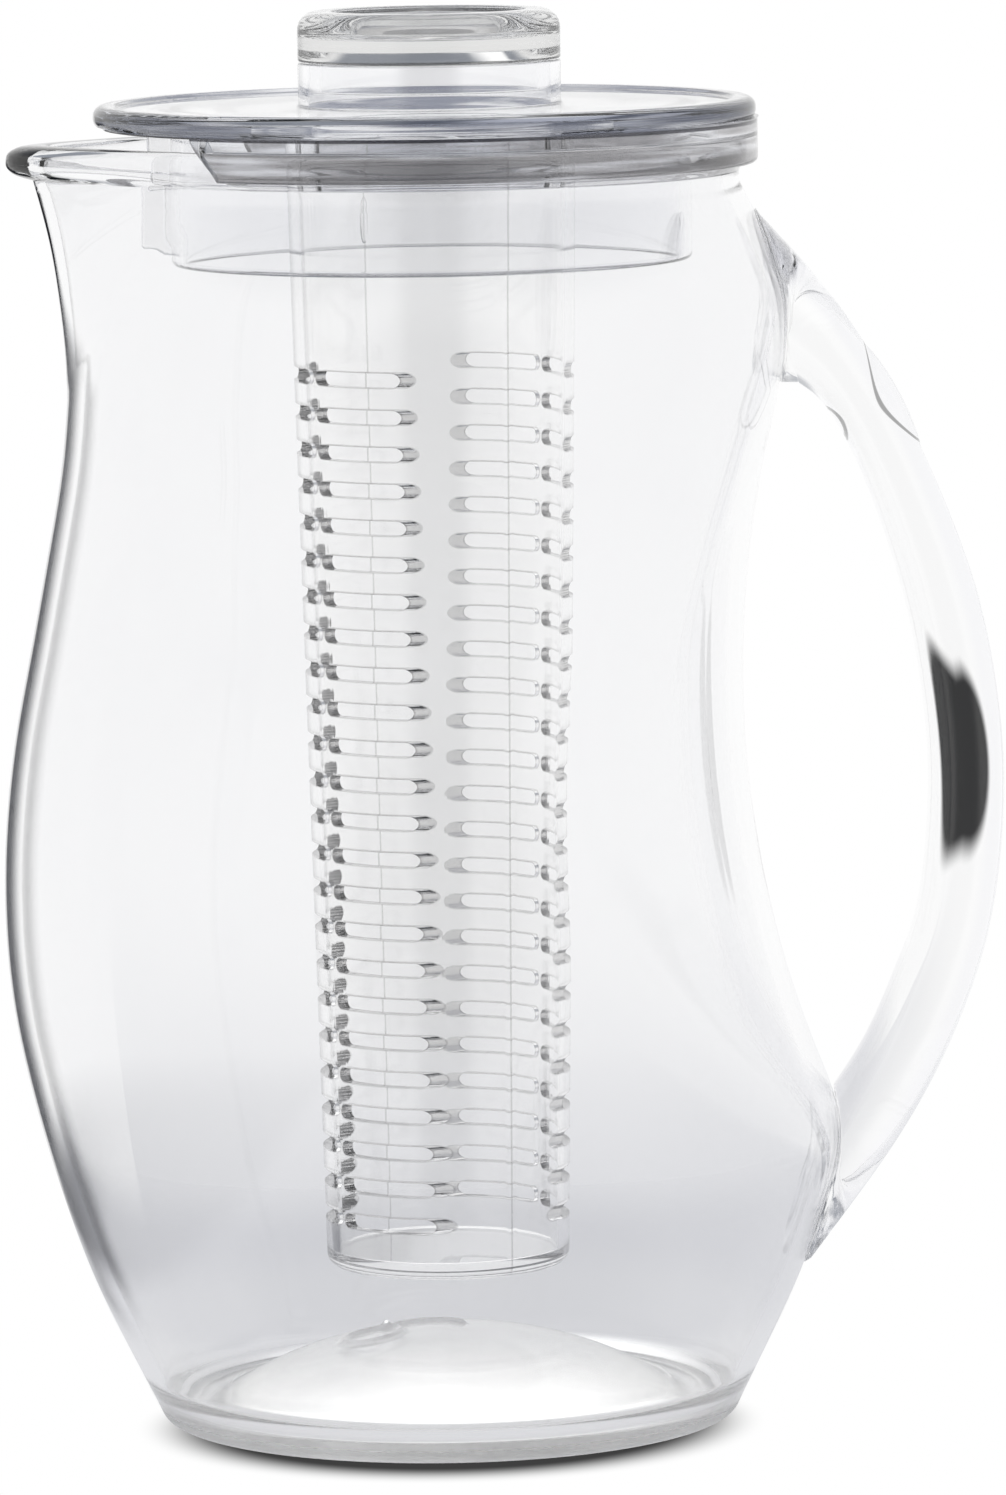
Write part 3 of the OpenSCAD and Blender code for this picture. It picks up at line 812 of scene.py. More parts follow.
@dataclass
class JugForm:
    """Shape of the jug's shell as radii over angle and height, in metres."""

    height: float = 256.4 * MM
    foot_r: float = 57.2 * MM
    foot_ring_w: float = 9 * MM
    stand_h: float = 0.5 * MM
    belly_r: float = 87.7 * MM
    belly_z: float = 105 * MM
    neck_r: float = 61.2 * MM
    wall: float = 3.4 * MM
    punt_h: float = 17.6 * MM
    bead_h: float = 7 * MM
    bead_out: float = 0.8 * MM
    spout_z: float = 205 * MM
    throat_reach: float = 79.1 * MM
    lip_out: float = 4.5 * MM
    tip_angle: float = math.radians(6)
    scoop_reach: float = 60.8 * MM
    scoop_z: float = 148 * MM
    scoop_side_r: float = 212 * MM
    scoop_top_r: float = 125 * MM
    scoop_blend: float = 7 * MM
    sample: float = 0.5 * MM
    ease: float = 5 * MM
    spout_ease: float = 2.5 * MM
    probe: float = 0.5 * MM
    turn_probe: float = math.radians(0.5)
    edge_share: float = 0.45
    neck_drop: float = 0.3
    lower_shares: tuple[Point, ...] = (
        (0, 0), (0.124, 0.21), (0.25, 0.42), (0.435, 0.65), (0.635, 0.84), (0.80, 0.953), (1, 1),
    )
    upper_shares: tuple[Point, ...] = (
        (0.225, 0.902), (0.366, 0.75), (0.50, 0.61), (0.623, 0.49), (0.725, 0.44),
        (0.82, 0.38), (0.90, 0.26), (0.96, 0.11), (1, 0),
    )
    spout_shares: tuple[Point, ...] = (
        (0, 0), (0.22, 0.03), (0.45, 0.19), (0.72, 0.48), (0.915, 0.83), (1, 1),
    )
    bead_shares: tuple[Point, ...] = ((0, 0), (0.12, 0.55), (0.32, 0.93), (0.58, 1), (0.85, 0.8), (1, 0.35))
    round_table: tuple[np.ndarray, np.ndarray] = field(init=False)
    spout_table: tuple[np.ndarray, np.ndarray] = field(init=False)

    def __post_init__(self) -> None:
        """Works out the two profiles that everything else follows."""
        self.bead_z = self.height - self.bead_h
        self.neck_z = self.bead_z - self.neck_drop * self.bead_h
        rise, swell = self.neck_z - self.belly_z, self.belly_r - self.neck_r
        growth = self.belly_r - self.foot_r
        points = [(z * self.belly_z, self.foot_r + r * growth) for z, r in self.lower_shares]
        points += [(self.belly_z + z * rise, self.neck_r + r * swell) for z, r in self.upper_shares]
        self.round_table = smooth_curve(points, self.sample, self.ease)
        root = float(self.round_r(np.array([self.spout_z]))[0])
        span, reach = self.bead_z - self.spout_z, self.throat_reach - root
        points = [(self.spout_z + z * span, root + r * reach) for z, r in self.spout_shares]
        self.spout_table = smooth_curve(points, self.sample, self.spout_ease)

    @property
    def foot_edge(self) -> float:
        """Rounding of the foot's edges."""
        return self.edge_share * self.wall

    @property
    def punt_r(self) -> float:
        """Radius of the dome in the floor."""
        return self.foot_r - self.foot_ring_w - self.foot_edge

    def round_r(self, z: np.ndarray) -> np.ndarray:
        """Radius of the round body at each height."""
        return np.interp(z, *self.round_table)

    def spout_r(self, z: np.ndarray) -> np.ndarray:
        """Reach of the spout's front edge at each height."""
        plain = self.round_r(z)
        return np.where(z < self.spout_z, plain, np.maximum(np.interp(z, *self.spout_table), plain))

    def spouted_r(self, a: np.ndarray, z: np.ndarray) -> np.ndarray:
        """Radius of the body with its spout, whose flat sides leave the round body as tangents."""
        r = self.round_r(z)
        half = np.arccos(np.minimum(1, r / self.spout_r(z)))
        from_spout = np.abs(np.mod(a, math.tau) - math.pi)
        eased = np.sqrt(from_spout**2 + self.tip_angle**2)
        reach = half + self.tip_angle * np.minimum(1, half / self.tip_angle)
        bend = np.where(half <= 0, 0, np.maximum(0, reach - eased))
        return r / np.cos(np.minimum(half, bend))

    def skin_r(self, a: np.ndarray, z: np.ndarray) -> np.ndarray:
        """Outer radius below the rim bead, with the finger scoop cut in on the handle's side."""
        plain = self.spouted_r(a, z)
        axis = self.scoop_top_r - self.scoop_reach
        drop = np.sqrt(np.maximum(0, self.scoop_side_r**2 - (z - self.scoop_z) ** 2))
        reach = self.scoop_reach + self.scoop_side_r - drop + axis
        scoop = np.sqrt(np.maximum(0, reach**2 - (axis * np.sin(a)) ** 2)) - axis * np.cos(a)
        share = np.maximum(self.scoop_blend - np.abs(plain - scoop), 0) / self.scoop_blend
        eased = np.minimum(plain, scoop) - share**2 * self.scoop_blend / 4
        return np.where(np.cos(a) > 0, eased, plain)

    def inner_r(self, a: np.ndarray, z: np.ndarray) -> np.ndarray:
        """Inner radius, with the wall measured square to the skin."""
        r = self.skin_r(a, z)
        rise = (self.skin_r(a, z + self.probe) - self.skin_r(a, z - self.probe)) / (2 * self.probe)
        step = self.turn_probe
        turn = (self.skin_r(a + step, z) - self.skin_r(a - step, z)) / (2 * step) / r
        return r - self.wall * np.sqrt(1 + rise**2 + turn**2)

    def bead_reach(self, a: np.ndarray) -> np.ndarray:
        """How far the bead and the lip stand out at each angle."""
        half = math.acos(self.neck_r / self.throat_reach)
        share = np.minimum(1, np.abs(np.mod(a, math.tau) - math.pi) / half)
        return self.bead_out + self.lip_out * np.cos(share * math.pi / 2) ** 2

    def dome_z(self, r: float, lift: float) -> float:
        """Height of the domed floor at a radius, for the under side or, a wall higher, the upper side."""
        rise = self.punt_h - self.wall - self.stand_h
        sphere = (self.punt_r**2 + rise**2) / (2 * rise)
        return math.sqrt((sphere + lift) ** 2 - r * r) - sphere + rise + self.stand_h

    def warp(self, a: np.ndarray, r: np.ndarray, z: np.ndarray, depth: np.ndarray) -> np.ndarray:
        """Radius of each point of the spun wall once it has its spout and its scoop.

        Args:
            a: Angles.
            r: Radii as spun.
            z: Heights.
            depth: 0 on the skin, 1 on the inner wall, between them on the rim, and below 0 for what stays
                round, which is -2 on the dome's upper side.

        Returns:
            The new radii.
        """
        low = np.minimum(z, self.bead_z)
        up = np.clip((z - self.bead_z) / self.bead_h, 0, 1)
        stand = np.interp(up, [p[0] for p in self.rim_curve], [p[1] for p in self.rim_curve])
        outer = self.skin_r(a, low) + self.bead_reach(a) * stand
        inner = self.inner_r(a, low)
        made = outer + (inner - outer) * np.clip(depth, 0, 1)
        return np.where(depth < -0.5, r, made)

    @property
    def rim_curve(self) -> list[Point]:
        """The bead's outline as shares: height, then how far it stands out."""
        at, out = smooth_curve(self.bead_shares, 0.02, 0.03)
        return [(float(x), float(max(0.0, y))) for x, y in zip(at, out)]


@dataclass
class Jug:
    """The blown shell and its mesh."""

    form: JugForm
    sides: int = 240
    wall_rows: int = 120
    bead_rows: int = 14
    mark_rows: int = 40
    outer_rows: int = 9
    mark_reach: float = 24 * MM
    mark_at: Point = (-15.5 * MM, -2 * MM)
    mark_r: float = 5.6 * MM
    arc_at: Point = (-5 * MM, -2.5 * MM)
    arc_r: float = 9.5 * MM
    arc_angles: Range = (38.0, 150.0)
    mark_w: float = 0.85 * MM
    mark_h: float = 1.0 * MM
    dome_end: float = 0.9
    ring_shares: Range = (0.6, 0.9)
    foot_turn: float = 1.1
    top_drop: float = 0.09
    top_shares: tuple[Point, ...] = (
        (0.05, 0.35), (0.2, 0.08), (0.4, 0.0), (0.6, 0.0), (0.8, 0.08), (0.95, 0.4), (1.0, 1.0),
    )
    corner_walls: float = 3.5
    corner_gap: float = 1.12
    corner_pull: Range = (0.4, 0.85)
    bend_steps: int = 16
    foot_steps: int = 12

    def section(self) -> list[tuple[float, float, float]]:
        """Outline of the wall beside the spout.

        Returns:
            Points as radius, height and depth share, from the under side's middle to the floor's middle.
        """
        f = self.form
        near = self.mark_reach / f.punt_r
        rows = [near * i / self.mark_rows for i in range(self.mark_rows)]
        rows += [near + (1 - near) * i / self.outer_rows for i in range(self.outer_rows + 1)]
        edge = f.foot_edge
        ring_in, ring_out = (f.punt_r + share * f.foot_ring_w for share in self.ring_shares)
        under = [(f.punt_r * s, f.dome_z(f.punt_r * s, 0), -1.0) for s in rows if s < self.dome_end]
        dome_r = f.punt_r * self.dome_end
        under += bent((dome_r, f.dome_z(dome_r, 0)), (f.punt_r, f.stand_h), (ring_in, 0.0), self.bend_steps)
        low, high = f.stand_h + self.foot_turn * edge, f.bead_z
        foot_top = float(f.round_r(np.array([low]))[0])
        corner_r = float(f.round_r(np.array([f.stand_h]))[0])
        foot = bent((ring_out, 0.0), (corner_r, 0.0), (foot_top, low), self.foot_steps)[:-1]
        heights = np.linspace(low, high, self.wall_rows)
        outer = [(float(r), float(z), 0.0) for r, z in zip(f.round_r(heights), heights)]
        shares = [i / self.bead_rows for i in range(1, self.bead_rows)]
        neck = float(f.round_r(np.array([f.bead_z]))[0])
        bead = [(neck, f.bead_z + f.bead_h * s, 0.0) for s in shares]
        top = [(neck - f.wall * d, f.height - f.bead_h * self.top_drop * s, d) for d, s in self.top_shares]
        corner_z = self.corner_walls * f.wall
        heights = np.linspace(f.bead_z, corner_z * self.corner_gap, self.wall_rows)
        right = np.full_like(heights, math.pi / 2)
        inner = [(float(r), float(z), 1.0) for r, z in zip(f.inner_r(right, heights), heights)]
        start = (float(f.inner_r(right[:1], np.array([corner_z]))[0]), corner_z)
        floor_r = f.punt_r - edge
        end = (floor_r, f.dome_z(floor_r, f.wall))
        pull = (f.foot_r - self.corner_pull[0] * f.wall, self.corner_pull[1] * f.wall)
        corner = bent(start, pull, end, self.bend_steps)
        floor = [(floor_r * s, f.dome_z(floor_r * s, f.wall), -2.0) for s in reversed(rows[:-1])]
        return under + foot + outer + bead + top + inner + corner + floor

    def gate_mark(self, x: np.ndarray, y: np.ndarray) -> np.ndarray:
        """Height of the ring and the arc that the mould's gate left on the dome.

        Args:
            x: Places along X.
            y: Places along Y.

        Returns:
            How far each place stands up.
        """
        ring = np.abs(np.hypot(x - self.mark_at[0], y - self.mark_at[1]) - self.mark_r)
        arc_x, arc_y = x - self.arc_at[0], y - self.arc_at[1]
        turn = np.degrees(np.arctan2(arc_y, arc_x)) % 360
        off_arc = np.maximum(0, np.maximum(self.arc_angles[0] - turn, turn - self.arc_angles[1]))
        arc = np.hypot(np.abs(np.hypot(arc_x, arc_y) - self.arc_r), np.radians(off_arc) * self.arc_r)
        return self.mark_h * (np.exp(-((ring / self.mark_w) ** 2)) + np.exp(-((arc / self.mark_w) ** 2)))

    def build(self) -> bpy.types.Object:
        """Spins the wall, then gives it its spout, its scoop and its gate mark.

        Returns:
            The piece.
        """
        bm = bmesh.new()
        depth = bm.verts.layers.float.new("depth")
        verts = []
        for r, z, d in self.section():
            vert = bm.verts.new((r, 0.0, z))
            vert[depth] = d
            verts.append(vert)
        edges = [bm.edges.new(pair) for pair in zip(verts, verts[1:])]
        spin_round(bm, verts + edges, self.sides)
        co = np.array([v.co for v in bm.verts])
        shares = np.array([v[depth] for v in bm.verts])
        radius = np.hypot(co[:, 0], co[:, 1])
        angle = np.arctan2(co[:, 1], co[:, 0])
        new = self.form.warp(angle, radius, co[:, 2], shares)
        lift = np.where(shares < -1.5, self.gate_mark(co[:, 0], co[:, 1]), 0.0)
        for vert, a, r, rise in zip(bm.verts, angle, new, lift):
            vert.co = (r * math.cos(a), r * math.sin(a), vert.co.z + rise)
        bmesh.ops.recalc_face_normals(bm, faces=bm.faces[:])
        piece = finished("jug_shell", bm, 40.0)
        finish = JugPlastic(
            "clear_jug_plastic", tint=(0.956, 0.957, 0.962), smear_tint=(0.948, 0.949, 0.955),
            wave_height=0.000008, frost_r=(self.form.punt_r - 4 * MM, self.form.punt_r),
            frost_z=(self.form.punt_h + 2 * MM, 30 * MM),
        )
        return seat(piece, "jug_body", Body.JUG, finish)


@dataclass
class Handle:
    """The solid grip, laid on the jug's skin at both roots."""

    form: JugForm
    out: float = 25.2 * MM
    thickness: float = 15.3 * MM
    width: float = 19 * MM
    thumb_h: float = 1.2 * MM
    bond_gap: float = 0.25 * MM
    crinkle: float = 0.16 * MM
    crinkle_size: float = 2.6 * MM
    roundness: float = 2.4
    sides: int = 96
    rows: int = 320
    cap_rows: int = 18
    outer_shares: tuple[Point, ...] = (
        (0.569, 0.942), (0.700, 0.876), (0.800, 0.806), (0.892, 0.720), (0.965, 0.624),
        (1, 0.507), (0.977, 0.390), (0.906, 0.295), (0.802, 0.211), (0.640, 0.115),
    )
    inner_shares: tuple[Point, ...] = (
        (0.740, 0.807), (0.789, 0.792), (0.845, 0.757), (0.910, 0.694), (0.969, 0.612),
        (1, 0.507), (0.9775, 0.402), (0.922, 0.341), (0.863, 0.291), (0.790, 0.248),
    )
    flare_shares: tuple[float, ...] = (0.30, 0.16, 0.04, 0, 0, 0, 0, 0.04, 0.16, 0.30)
    thumb_at: float = 0.234
    thumb_length: float = 0.055
    thumb_width: float = 0.96
    thumb_soft: float = 0.8
    rail_step: float = 0.02
    rail_ease: float = 0.2

    def rail(self, values: Sequence[float], share: np.ndarray) -> np.ndarray:
        """Smooth run through the named places of the grip.

        Args:
            values: One value for each place.
            share: Shares of the way along the grip.

        Returns:
            The value at each share.
        """
        places = [(float(i), v) for i, v in enumerate(values)]
        at, run = smooth_curve(places, self.rail_step, self.rail_ease)
        return np.interp(share * (len(values) - 1), at, run)

    def skin_x(self, y: np.ndarray, z: np.ndarray) -> np.ndarray:
        """Distance of the jug's skin from the YZ plane beside the handle."""
        x = np.sqrt(np.maximum(1e-6, self.form.skin_r(np.zeros_like(z), z) ** 2 - y**2))
        for _ in range(3):
            r = self.form.skin_r(np.arctan2(y, x), z)
            x = np.sqrt(np.maximum(1e-6, r**2 - y**2))
        return x

    def place(self, u: np.ndarray, v: np.ndarray) -> np.ndarray:
        """Lays a flat grid on the grip.

        Args:
            u: Run along the grip, below 0 and above 1 for the two pads on the jug.
            v: Turn round the section, from 0 to 1.

        Returns:
            The points, one row each.
        """
        reach = self.form.belly_r + self.out
        share = np.clip(u, 0, 1)
        inward = np.where(u < 0, 1 + u, np.where(u > 1, 2 - u, 1.0))
        outer, inner = (
            np.stack([
                self.rail([p[0] * width for p in shares], share),
                self.rail([p[1] * self.form.height for p in shares], share),
            ])
            for width, shares in ((reach, self.outer_shares), (reach - self.thickness, self.inner_shares))
        )
        middle, half = (outer + inner) / 2, (outer - inner) / 2
        half_w = self.width / 2 * (1 + self.rail(self.flare_shares, share))
        a = v * math.tau
        cos, sin = np.cos(a), np.sin(a)
        bulge = np.sign(cos) * np.abs(cos) ** (2 / self.roundness)
        spread = np.sign(sin) * np.abs(sin) ** (2 / self.roundness)
        along = (share - self.thumb_at) / self.thumb_length
        left = np.maximum(0, 1 - along**2 - (sin / self.thumb_width) ** 2)
        lift = np.where(cos > 0, self.thumb_h * left**self.thumb_soft, 0)
        point = middle + half * bulge * inward + half / np.linalg.norm(half, axis=0) * lift
        y = half_w * spread * inward
        laid = self.skin_x(y, point[1]) + self.bond_gap
        pressed = (u <= 0) | (u >= 1)
        x = np.where(pressed, laid, np.maximum(point[0], laid + self.bond_gap))
        return np.stack([x, y, point[1]], axis=1)

    def build(self) -> bpy.types.Object:
        """Bends a grid into the closed grip.

        Returns:
            The piece.
        """
        bm = bmesh.new()
        count = self.rows + 2 * self.cap_rows
        bmesh.ops.create_grid(bm, x_segments=count, y_segments=self.sides, size=0.5)
        co = np.array([v.co for v in bm.verts])
        steps = np.rint((co[:, 0] + 0.5) * count)
        u = np.where(
            steps < self.cap_rows, steps / self.cap_rows - 1,
            np.where(steps > count - self.cap_rows, 1 + (steps - count + self.cap_rows) / self.cap_rows,
                     (steps - self.cap_rows) / self.rows),
        )
        places = self.place(u, np.mod(np.rint((co[:, 1] + 0.5) * self.sides), self.sides) / self.sides)
        outer, bond = bm.verts.layers.float.new("outer"), bm.verts.layers.float.new("bond")
        turns = np.cos(np.rint((co[:, 1] + 0.5) * self.sides) / self.sides * math.tau)
        for vert, place, along, turn in zip(bm.verts, places, u, turns):
            vert.co = place
            vert[outer] = turn
            if along <= 0 or along >= 1:
                vert[bond] = 1.0
                vert.co.x += self.crinkle * noise.noise(vert.co / self.crinkle_size)
        tidy(bm, 0.005 * MM)
        piece = finished("grip_handle", bm, 50.0)
        reach = self.thumb_at + np.array([-1, 0, 1]) * self.thumb_length
        upper, middle, lower = self.place(reach, np.zeros(3))
        length = float(np.linalg.norm(upper - lower))
        half_w = self.width / 2 * self.thumb_width ** (2 / self.roundness)
        finish = GripPlastic(
            "clear_handle_plastic", tint=(0.99, 0.99, 0.99), smear_tint=(0.985, 0.985, 0.985),
            rest_at=tuple(float(c) for c in middle),
            rest_along=tuple(float(c) for c in (upper - lower) / length),
            rest_size=(length / 2, half_w), rest_depth=self.thickness / 2,
        )
        return seat(piece, "handle", Body.JUG, finish)


@dataclass
class Heights:
    """Heights and radii that the lid, the cap and the tube share, in metres."""

    form: JugForm
    seat_gap: float = 0.3 * MM
    plug_gap: float = 0.3 * MM
    skirt_gap: float = 0.8 * MM
    ledge_h: float = 2.7 * MM
    rim_h: float = 4.7 * MM
    recess: float = 0.8 * MM
    disc_t: float = 2.6 * MM
    neck_r: float = 26.1 * MM
    neck_t: float = 1.9 * MM
    neck_up: float = 7.8 * MM
    neck_down: float = 10.4 * MM
    lug_h: float = 2.2 * MM
    lug_w: float = 7 * MM
    lug_out: float = 1.2 * MM
    lug_count: int = 3
    slot_angle: float = 31.0

    def __post_init__(self) -> None:
        """Works out the derived heights."""
        self.seat_z = self.form.height + self.seat_gap
        self.rim_under = self.seat_z + self.ledge_h
        self.top = self.rim_under + self.rim_h
        self.disc_top = self.top - self.recess
        self.disc_under = self.disc_top - self.disc_t
        self.neck_top = self.top + self.neck_up
        self.neck_z = self.rim_under - self.neck_down
        self.neck_inner = self.neck_r - self.neck_t
        self.lug_plane = self.neck_r + self.lug_out
        self.lug_z = self.neck_z + self.lug_h


@dataclass
class Lid:
    """The plug-in lid: disc, skirt with its opening, collar with its tab, and the neck with its lugs."""

    at: Heights
    radius: float = 65.8 * MM
    offset: float = 1.1 * MM
    rim_w: float = 4.2 * MM
    skirt_t: float = 2.2 * MM
    skirt_h: float = 8.4 * MM
    collar_r: float = 51.7 * MM
    collar_t: float = 2.5 * MM
    collar_h: float = 27.4 * MM
    tab_t: float = 2.2 * MM
    tab_out: float = 4.6 * MM
    gap_angle: float = 44.0
    soft_edge: float = 0.35 * MM
    cut_edge: float = 0.45 * MM
    rim_round: float = 0.45
    rim_steps: int = 12
    ledge_walls: float = 1.2
    gap_swing: float = 0.6
    gap_rows: int = 10
    gap_steps: int = 48
    set_off_from: float = 1.15
    tab_round: float = 0.42
    sides: int = 224

    def __post_init__(self) -> None:
        """Works out where the skirt, the ledge and the collar are."""
        at, form = self.at, self.at.form
        self.skirt_in = form.neck_r + form.bead_out + at.skirt_gap
        self.skirt_out = self.skirt_in + self.skirt_t
        self.skirt_z = at.rim_under - self.skirt_h
        self.ledge_in = form.neck_r - self.ledge_walls * form.wall
        self.collar_z = at.rim_under - self.collar_h

    def section(self) -> list[Point]:
        """Outline of the lid from the neck's bore outwards and back.

        Returns:
            Points as radius and height.
        """
        at = self.at
        round_r = self.rim_round * at.rim_h
        centre = (self.radius - round_r, at.rim_under + round_r)
        last = math.degrees(math.asin((self.skirt_out - centre[0]) / round_r)) - 90
        rim = arc(centre, round_r, 90, last, self.rim_steps)
        rim = [(r, z + at.rim_h - 2 * round_r if z > centre[1] else z) for r, z in rim]
        return [
            (at.neck_inner, at.neck_z), (at.neck_inner, at.neck_top), (at.neck_r, at.neck_top),
            (at.neck_r, at.disc_top), (self.radius - self.rim_w - at.recess, at.disc_top),
            (self.radius - self.rim_w, at.top), *rim,
            *rounded_end((self.skirt_out + self.skirt_in) / 2, self.skirt_z, self.skirt_t),
            (self.skirt_in, at.seat_z), (self.ledge_in, at.seat_z), (self.ledge_in, at.rim_under),
            (self.collar_r + round_r, at.rim_under), (self.collar_r, at.disc_under),
            *rounded_end(self.collar_r - self.collar_t / 2, self.collar_z, self.collar_t),
            (self.collar_r - self.collar_t, at.disc_under), (at.neck_r, at.disc_under),
            (at.neck_r, at.neck_z),
        ]

    def opening(self) -> bmesh.types.BMesh:
        """Cutter for the opening that the skirt leaves at the spout, with its softly curved ends.

        Returns:
            The cutter.
        """
        at = self.at
        low, high = self.skirt_z - MM, at.rim_under + 0.02 * MM
        heights = [low + (high - low) * i / self.gap_rows for i in range(self.gap_rows + 1)]
        bm = bmesh.new()
        loop = [bm.verts.new((MM - self.ledge_in, 0.0, z)) for z in heights]
        loop += [bm.verts.new((-self.skirt_out - MM, 0.0, z)) for z in reversed(heights)]
        face = bm.faces.new(loop)
        turn_round(bm, -self.gap_angle)
        half = math.radians(self.gap_angle)
        bmesh.ops.spin(
            bm, geom=[face, *face.edges, *loop], cent=(0, 0, 0), axis=(0, 0, 1), angle=2 * half,
            steps=self.gap_steps, use_merge=False,
        )
        tidy(bm)
        gap_x = self.skirt_out * math.cos(half)
        swing = self.gap_swing * self.skirt_h
        for vert in bm.verts:
            share = min(1.0, max(0.0, (at.rim_under - vert.co.z) / self.skirt_h))
            x = gap_x - swing * (1 - math.cos(math.pi * share)) / 2
            radius = math.hypot(vert.co.x, vert.co.y)
            angle = math.atan2(-vert.co.y, -vert.co.x) * math.acos(x / self.skirt_out) / half
            vert.co.x, vert.co.y = -radius * math.cos(angle), -radius * math.sin(angle)
        bmesh.ops.recalc_face_normals(bm, faces=bm.faces[:])
        return bm

    def build(self) -> bpy.types.Object:
        """Spins the lid, sets its rim off, cuts the opening and adds the tab and the lugs.

        Returns:
            The piece.
        """
        at = self.at
        bm = spun(self.section(), self.sides)
        near, far = self.set_off_from * self.collar_r, self.radius - self.rim_w - at.recess
        for vert in bm.verts:
            radius = math.hypot(vert.co.x, vert.co.y)
            on_rim = vert.co.z > at.rim_under + 0.05 * MM and radius > near
            on_skirt = abs(radius - self.skirt_out) < 0.01 * MM and vert.co.z < at.top - at.rim_h / 2
            if on_rim and not on_skirt:
                vert.co.x -= self.offset * min(1.0, (radius - near) / (far - near))
        soften(bm, self.soft_edge)
        bm = combined(bm, self.opening(), "DIFFERENCE")
        low, high = self.skirt_z + 0.5 * self.skirt_t, at.rim_under - 0.8 * self.soft_edge
        inside = self.skirt_out - self.skirt_t
        soften(bm, self.cut_edge, lambda m: m.x < 0 and low < m.z < high and m.xy.length > inside)
        tab_z = self.collar_z + 0.9 * self.tab_t
        tab = block(
            Vector((-self.collar_r - self.tab_out, -self.tab_t / 2, tab_z)),
            Vector((-self.collar_r + self.collar_t / 2, self.tab_t / 2, at.rim_under + at.rim_h / 3)),
        )
        soften(tab, self.tab_round * self.tab_t)
        lugs = [
            block(
                Vector((at.neck_inner + at.neck_t / 2, -at.lug_w / 2, at.lug_z)),
                Vector((at.lug_plane, at.lug_w / 2, at.lug_z + at.lug_h)),
                360 * i / at.lug_count + at.slot_angle,
            )
            for i in range(at.lug_count)
        ]
        bm = combined(bm, joined([tab, *lugs]), "UNION")
        tidy(bm)
        piece = finished("plug_lid", bm, 32.0)
        finish = LidPlastic(
            "clear_lid_plastic", tint=(0.97, 0.972, 0.98), smear_tint=(0.955, 0.957, 0.968),
            rim_z=at.rim_under, rim_h=at.rim_h, rim_r=self.skirt_out - 1.2 * self.skirt_t,
            collar_z=self.collar_z, collar_r=self.collar_r, tab_w=self.tab_t,
        )
        return seat(piece, "lid", Body.LID, finish)


@dataclass
class KnobCap:
    """The dished cap that plugs the lid's neck."""

    at: Heights
    height: float = 9.8 * MM
    shoulder: float = 3.8 * MM
    dish_r: float = 19.4 * MM
    dish_h: float = 5.5 * MM
    dish_t: float = 2.1 * MM
    plug_h: float = 6 * MM
    plug_t: float = 2.2 * MM
    dish_round: float = 0.45
    soft_edge: float = 0.3 * MM
    sides: int = 192

    def build(self) -> bpy.types.Object:
        """Spins the cap's section.

        Returns:
            The piece.
        """
        at = self.at
        low = at.neck_top + at.seat_gap
        top = low + self.height
        plug_out = at.neck_inner - at.plug_gap
        plug_in = plug_out - self.plug_t
        dish_z = top - self.dish_h
        bowl = self.dish_round * self.dish_h
        shoulder = arc((at.neck_r - self.shoulder, top - self.shoulder), self.shoulder, 0, 90)
        dish = arc((self.dish_r - bowl, dish_z + bowl), bowl, 0, -90)
        section = [
            (plug_in, low - self.plug_h), (plug_out, low - self.plug_h), (plug_out, low), (at.neck_r, low),
            *shoulder, (self.dish_r, top), *dish, (0.0, dish_z), (0.0, dish_z - self.dish_t),
            (plug_in - self.dish_t, dish_z - self.dish_t), (plug_in, dish_z - 2 * self.dish_t),
        ]
        bm = spun(section, self.sides)
        soften(bm, self.soft_edge)
        piece = finished("knob_cap_dished", bm, 35.0)
        finish = CapPlastic(
            # The head's grey tint is painted shade for the darker surroundings that its thick plastic shows.
            "clear_cap_plastic", tint=(0.80, 0.80, 0.795), smear_tint=(0.75, 0.75, 0.742),
            joint_z=low - 0.2 * MM,
        )
        return seat(piece, "knob_cap", Body.CAP, finish)


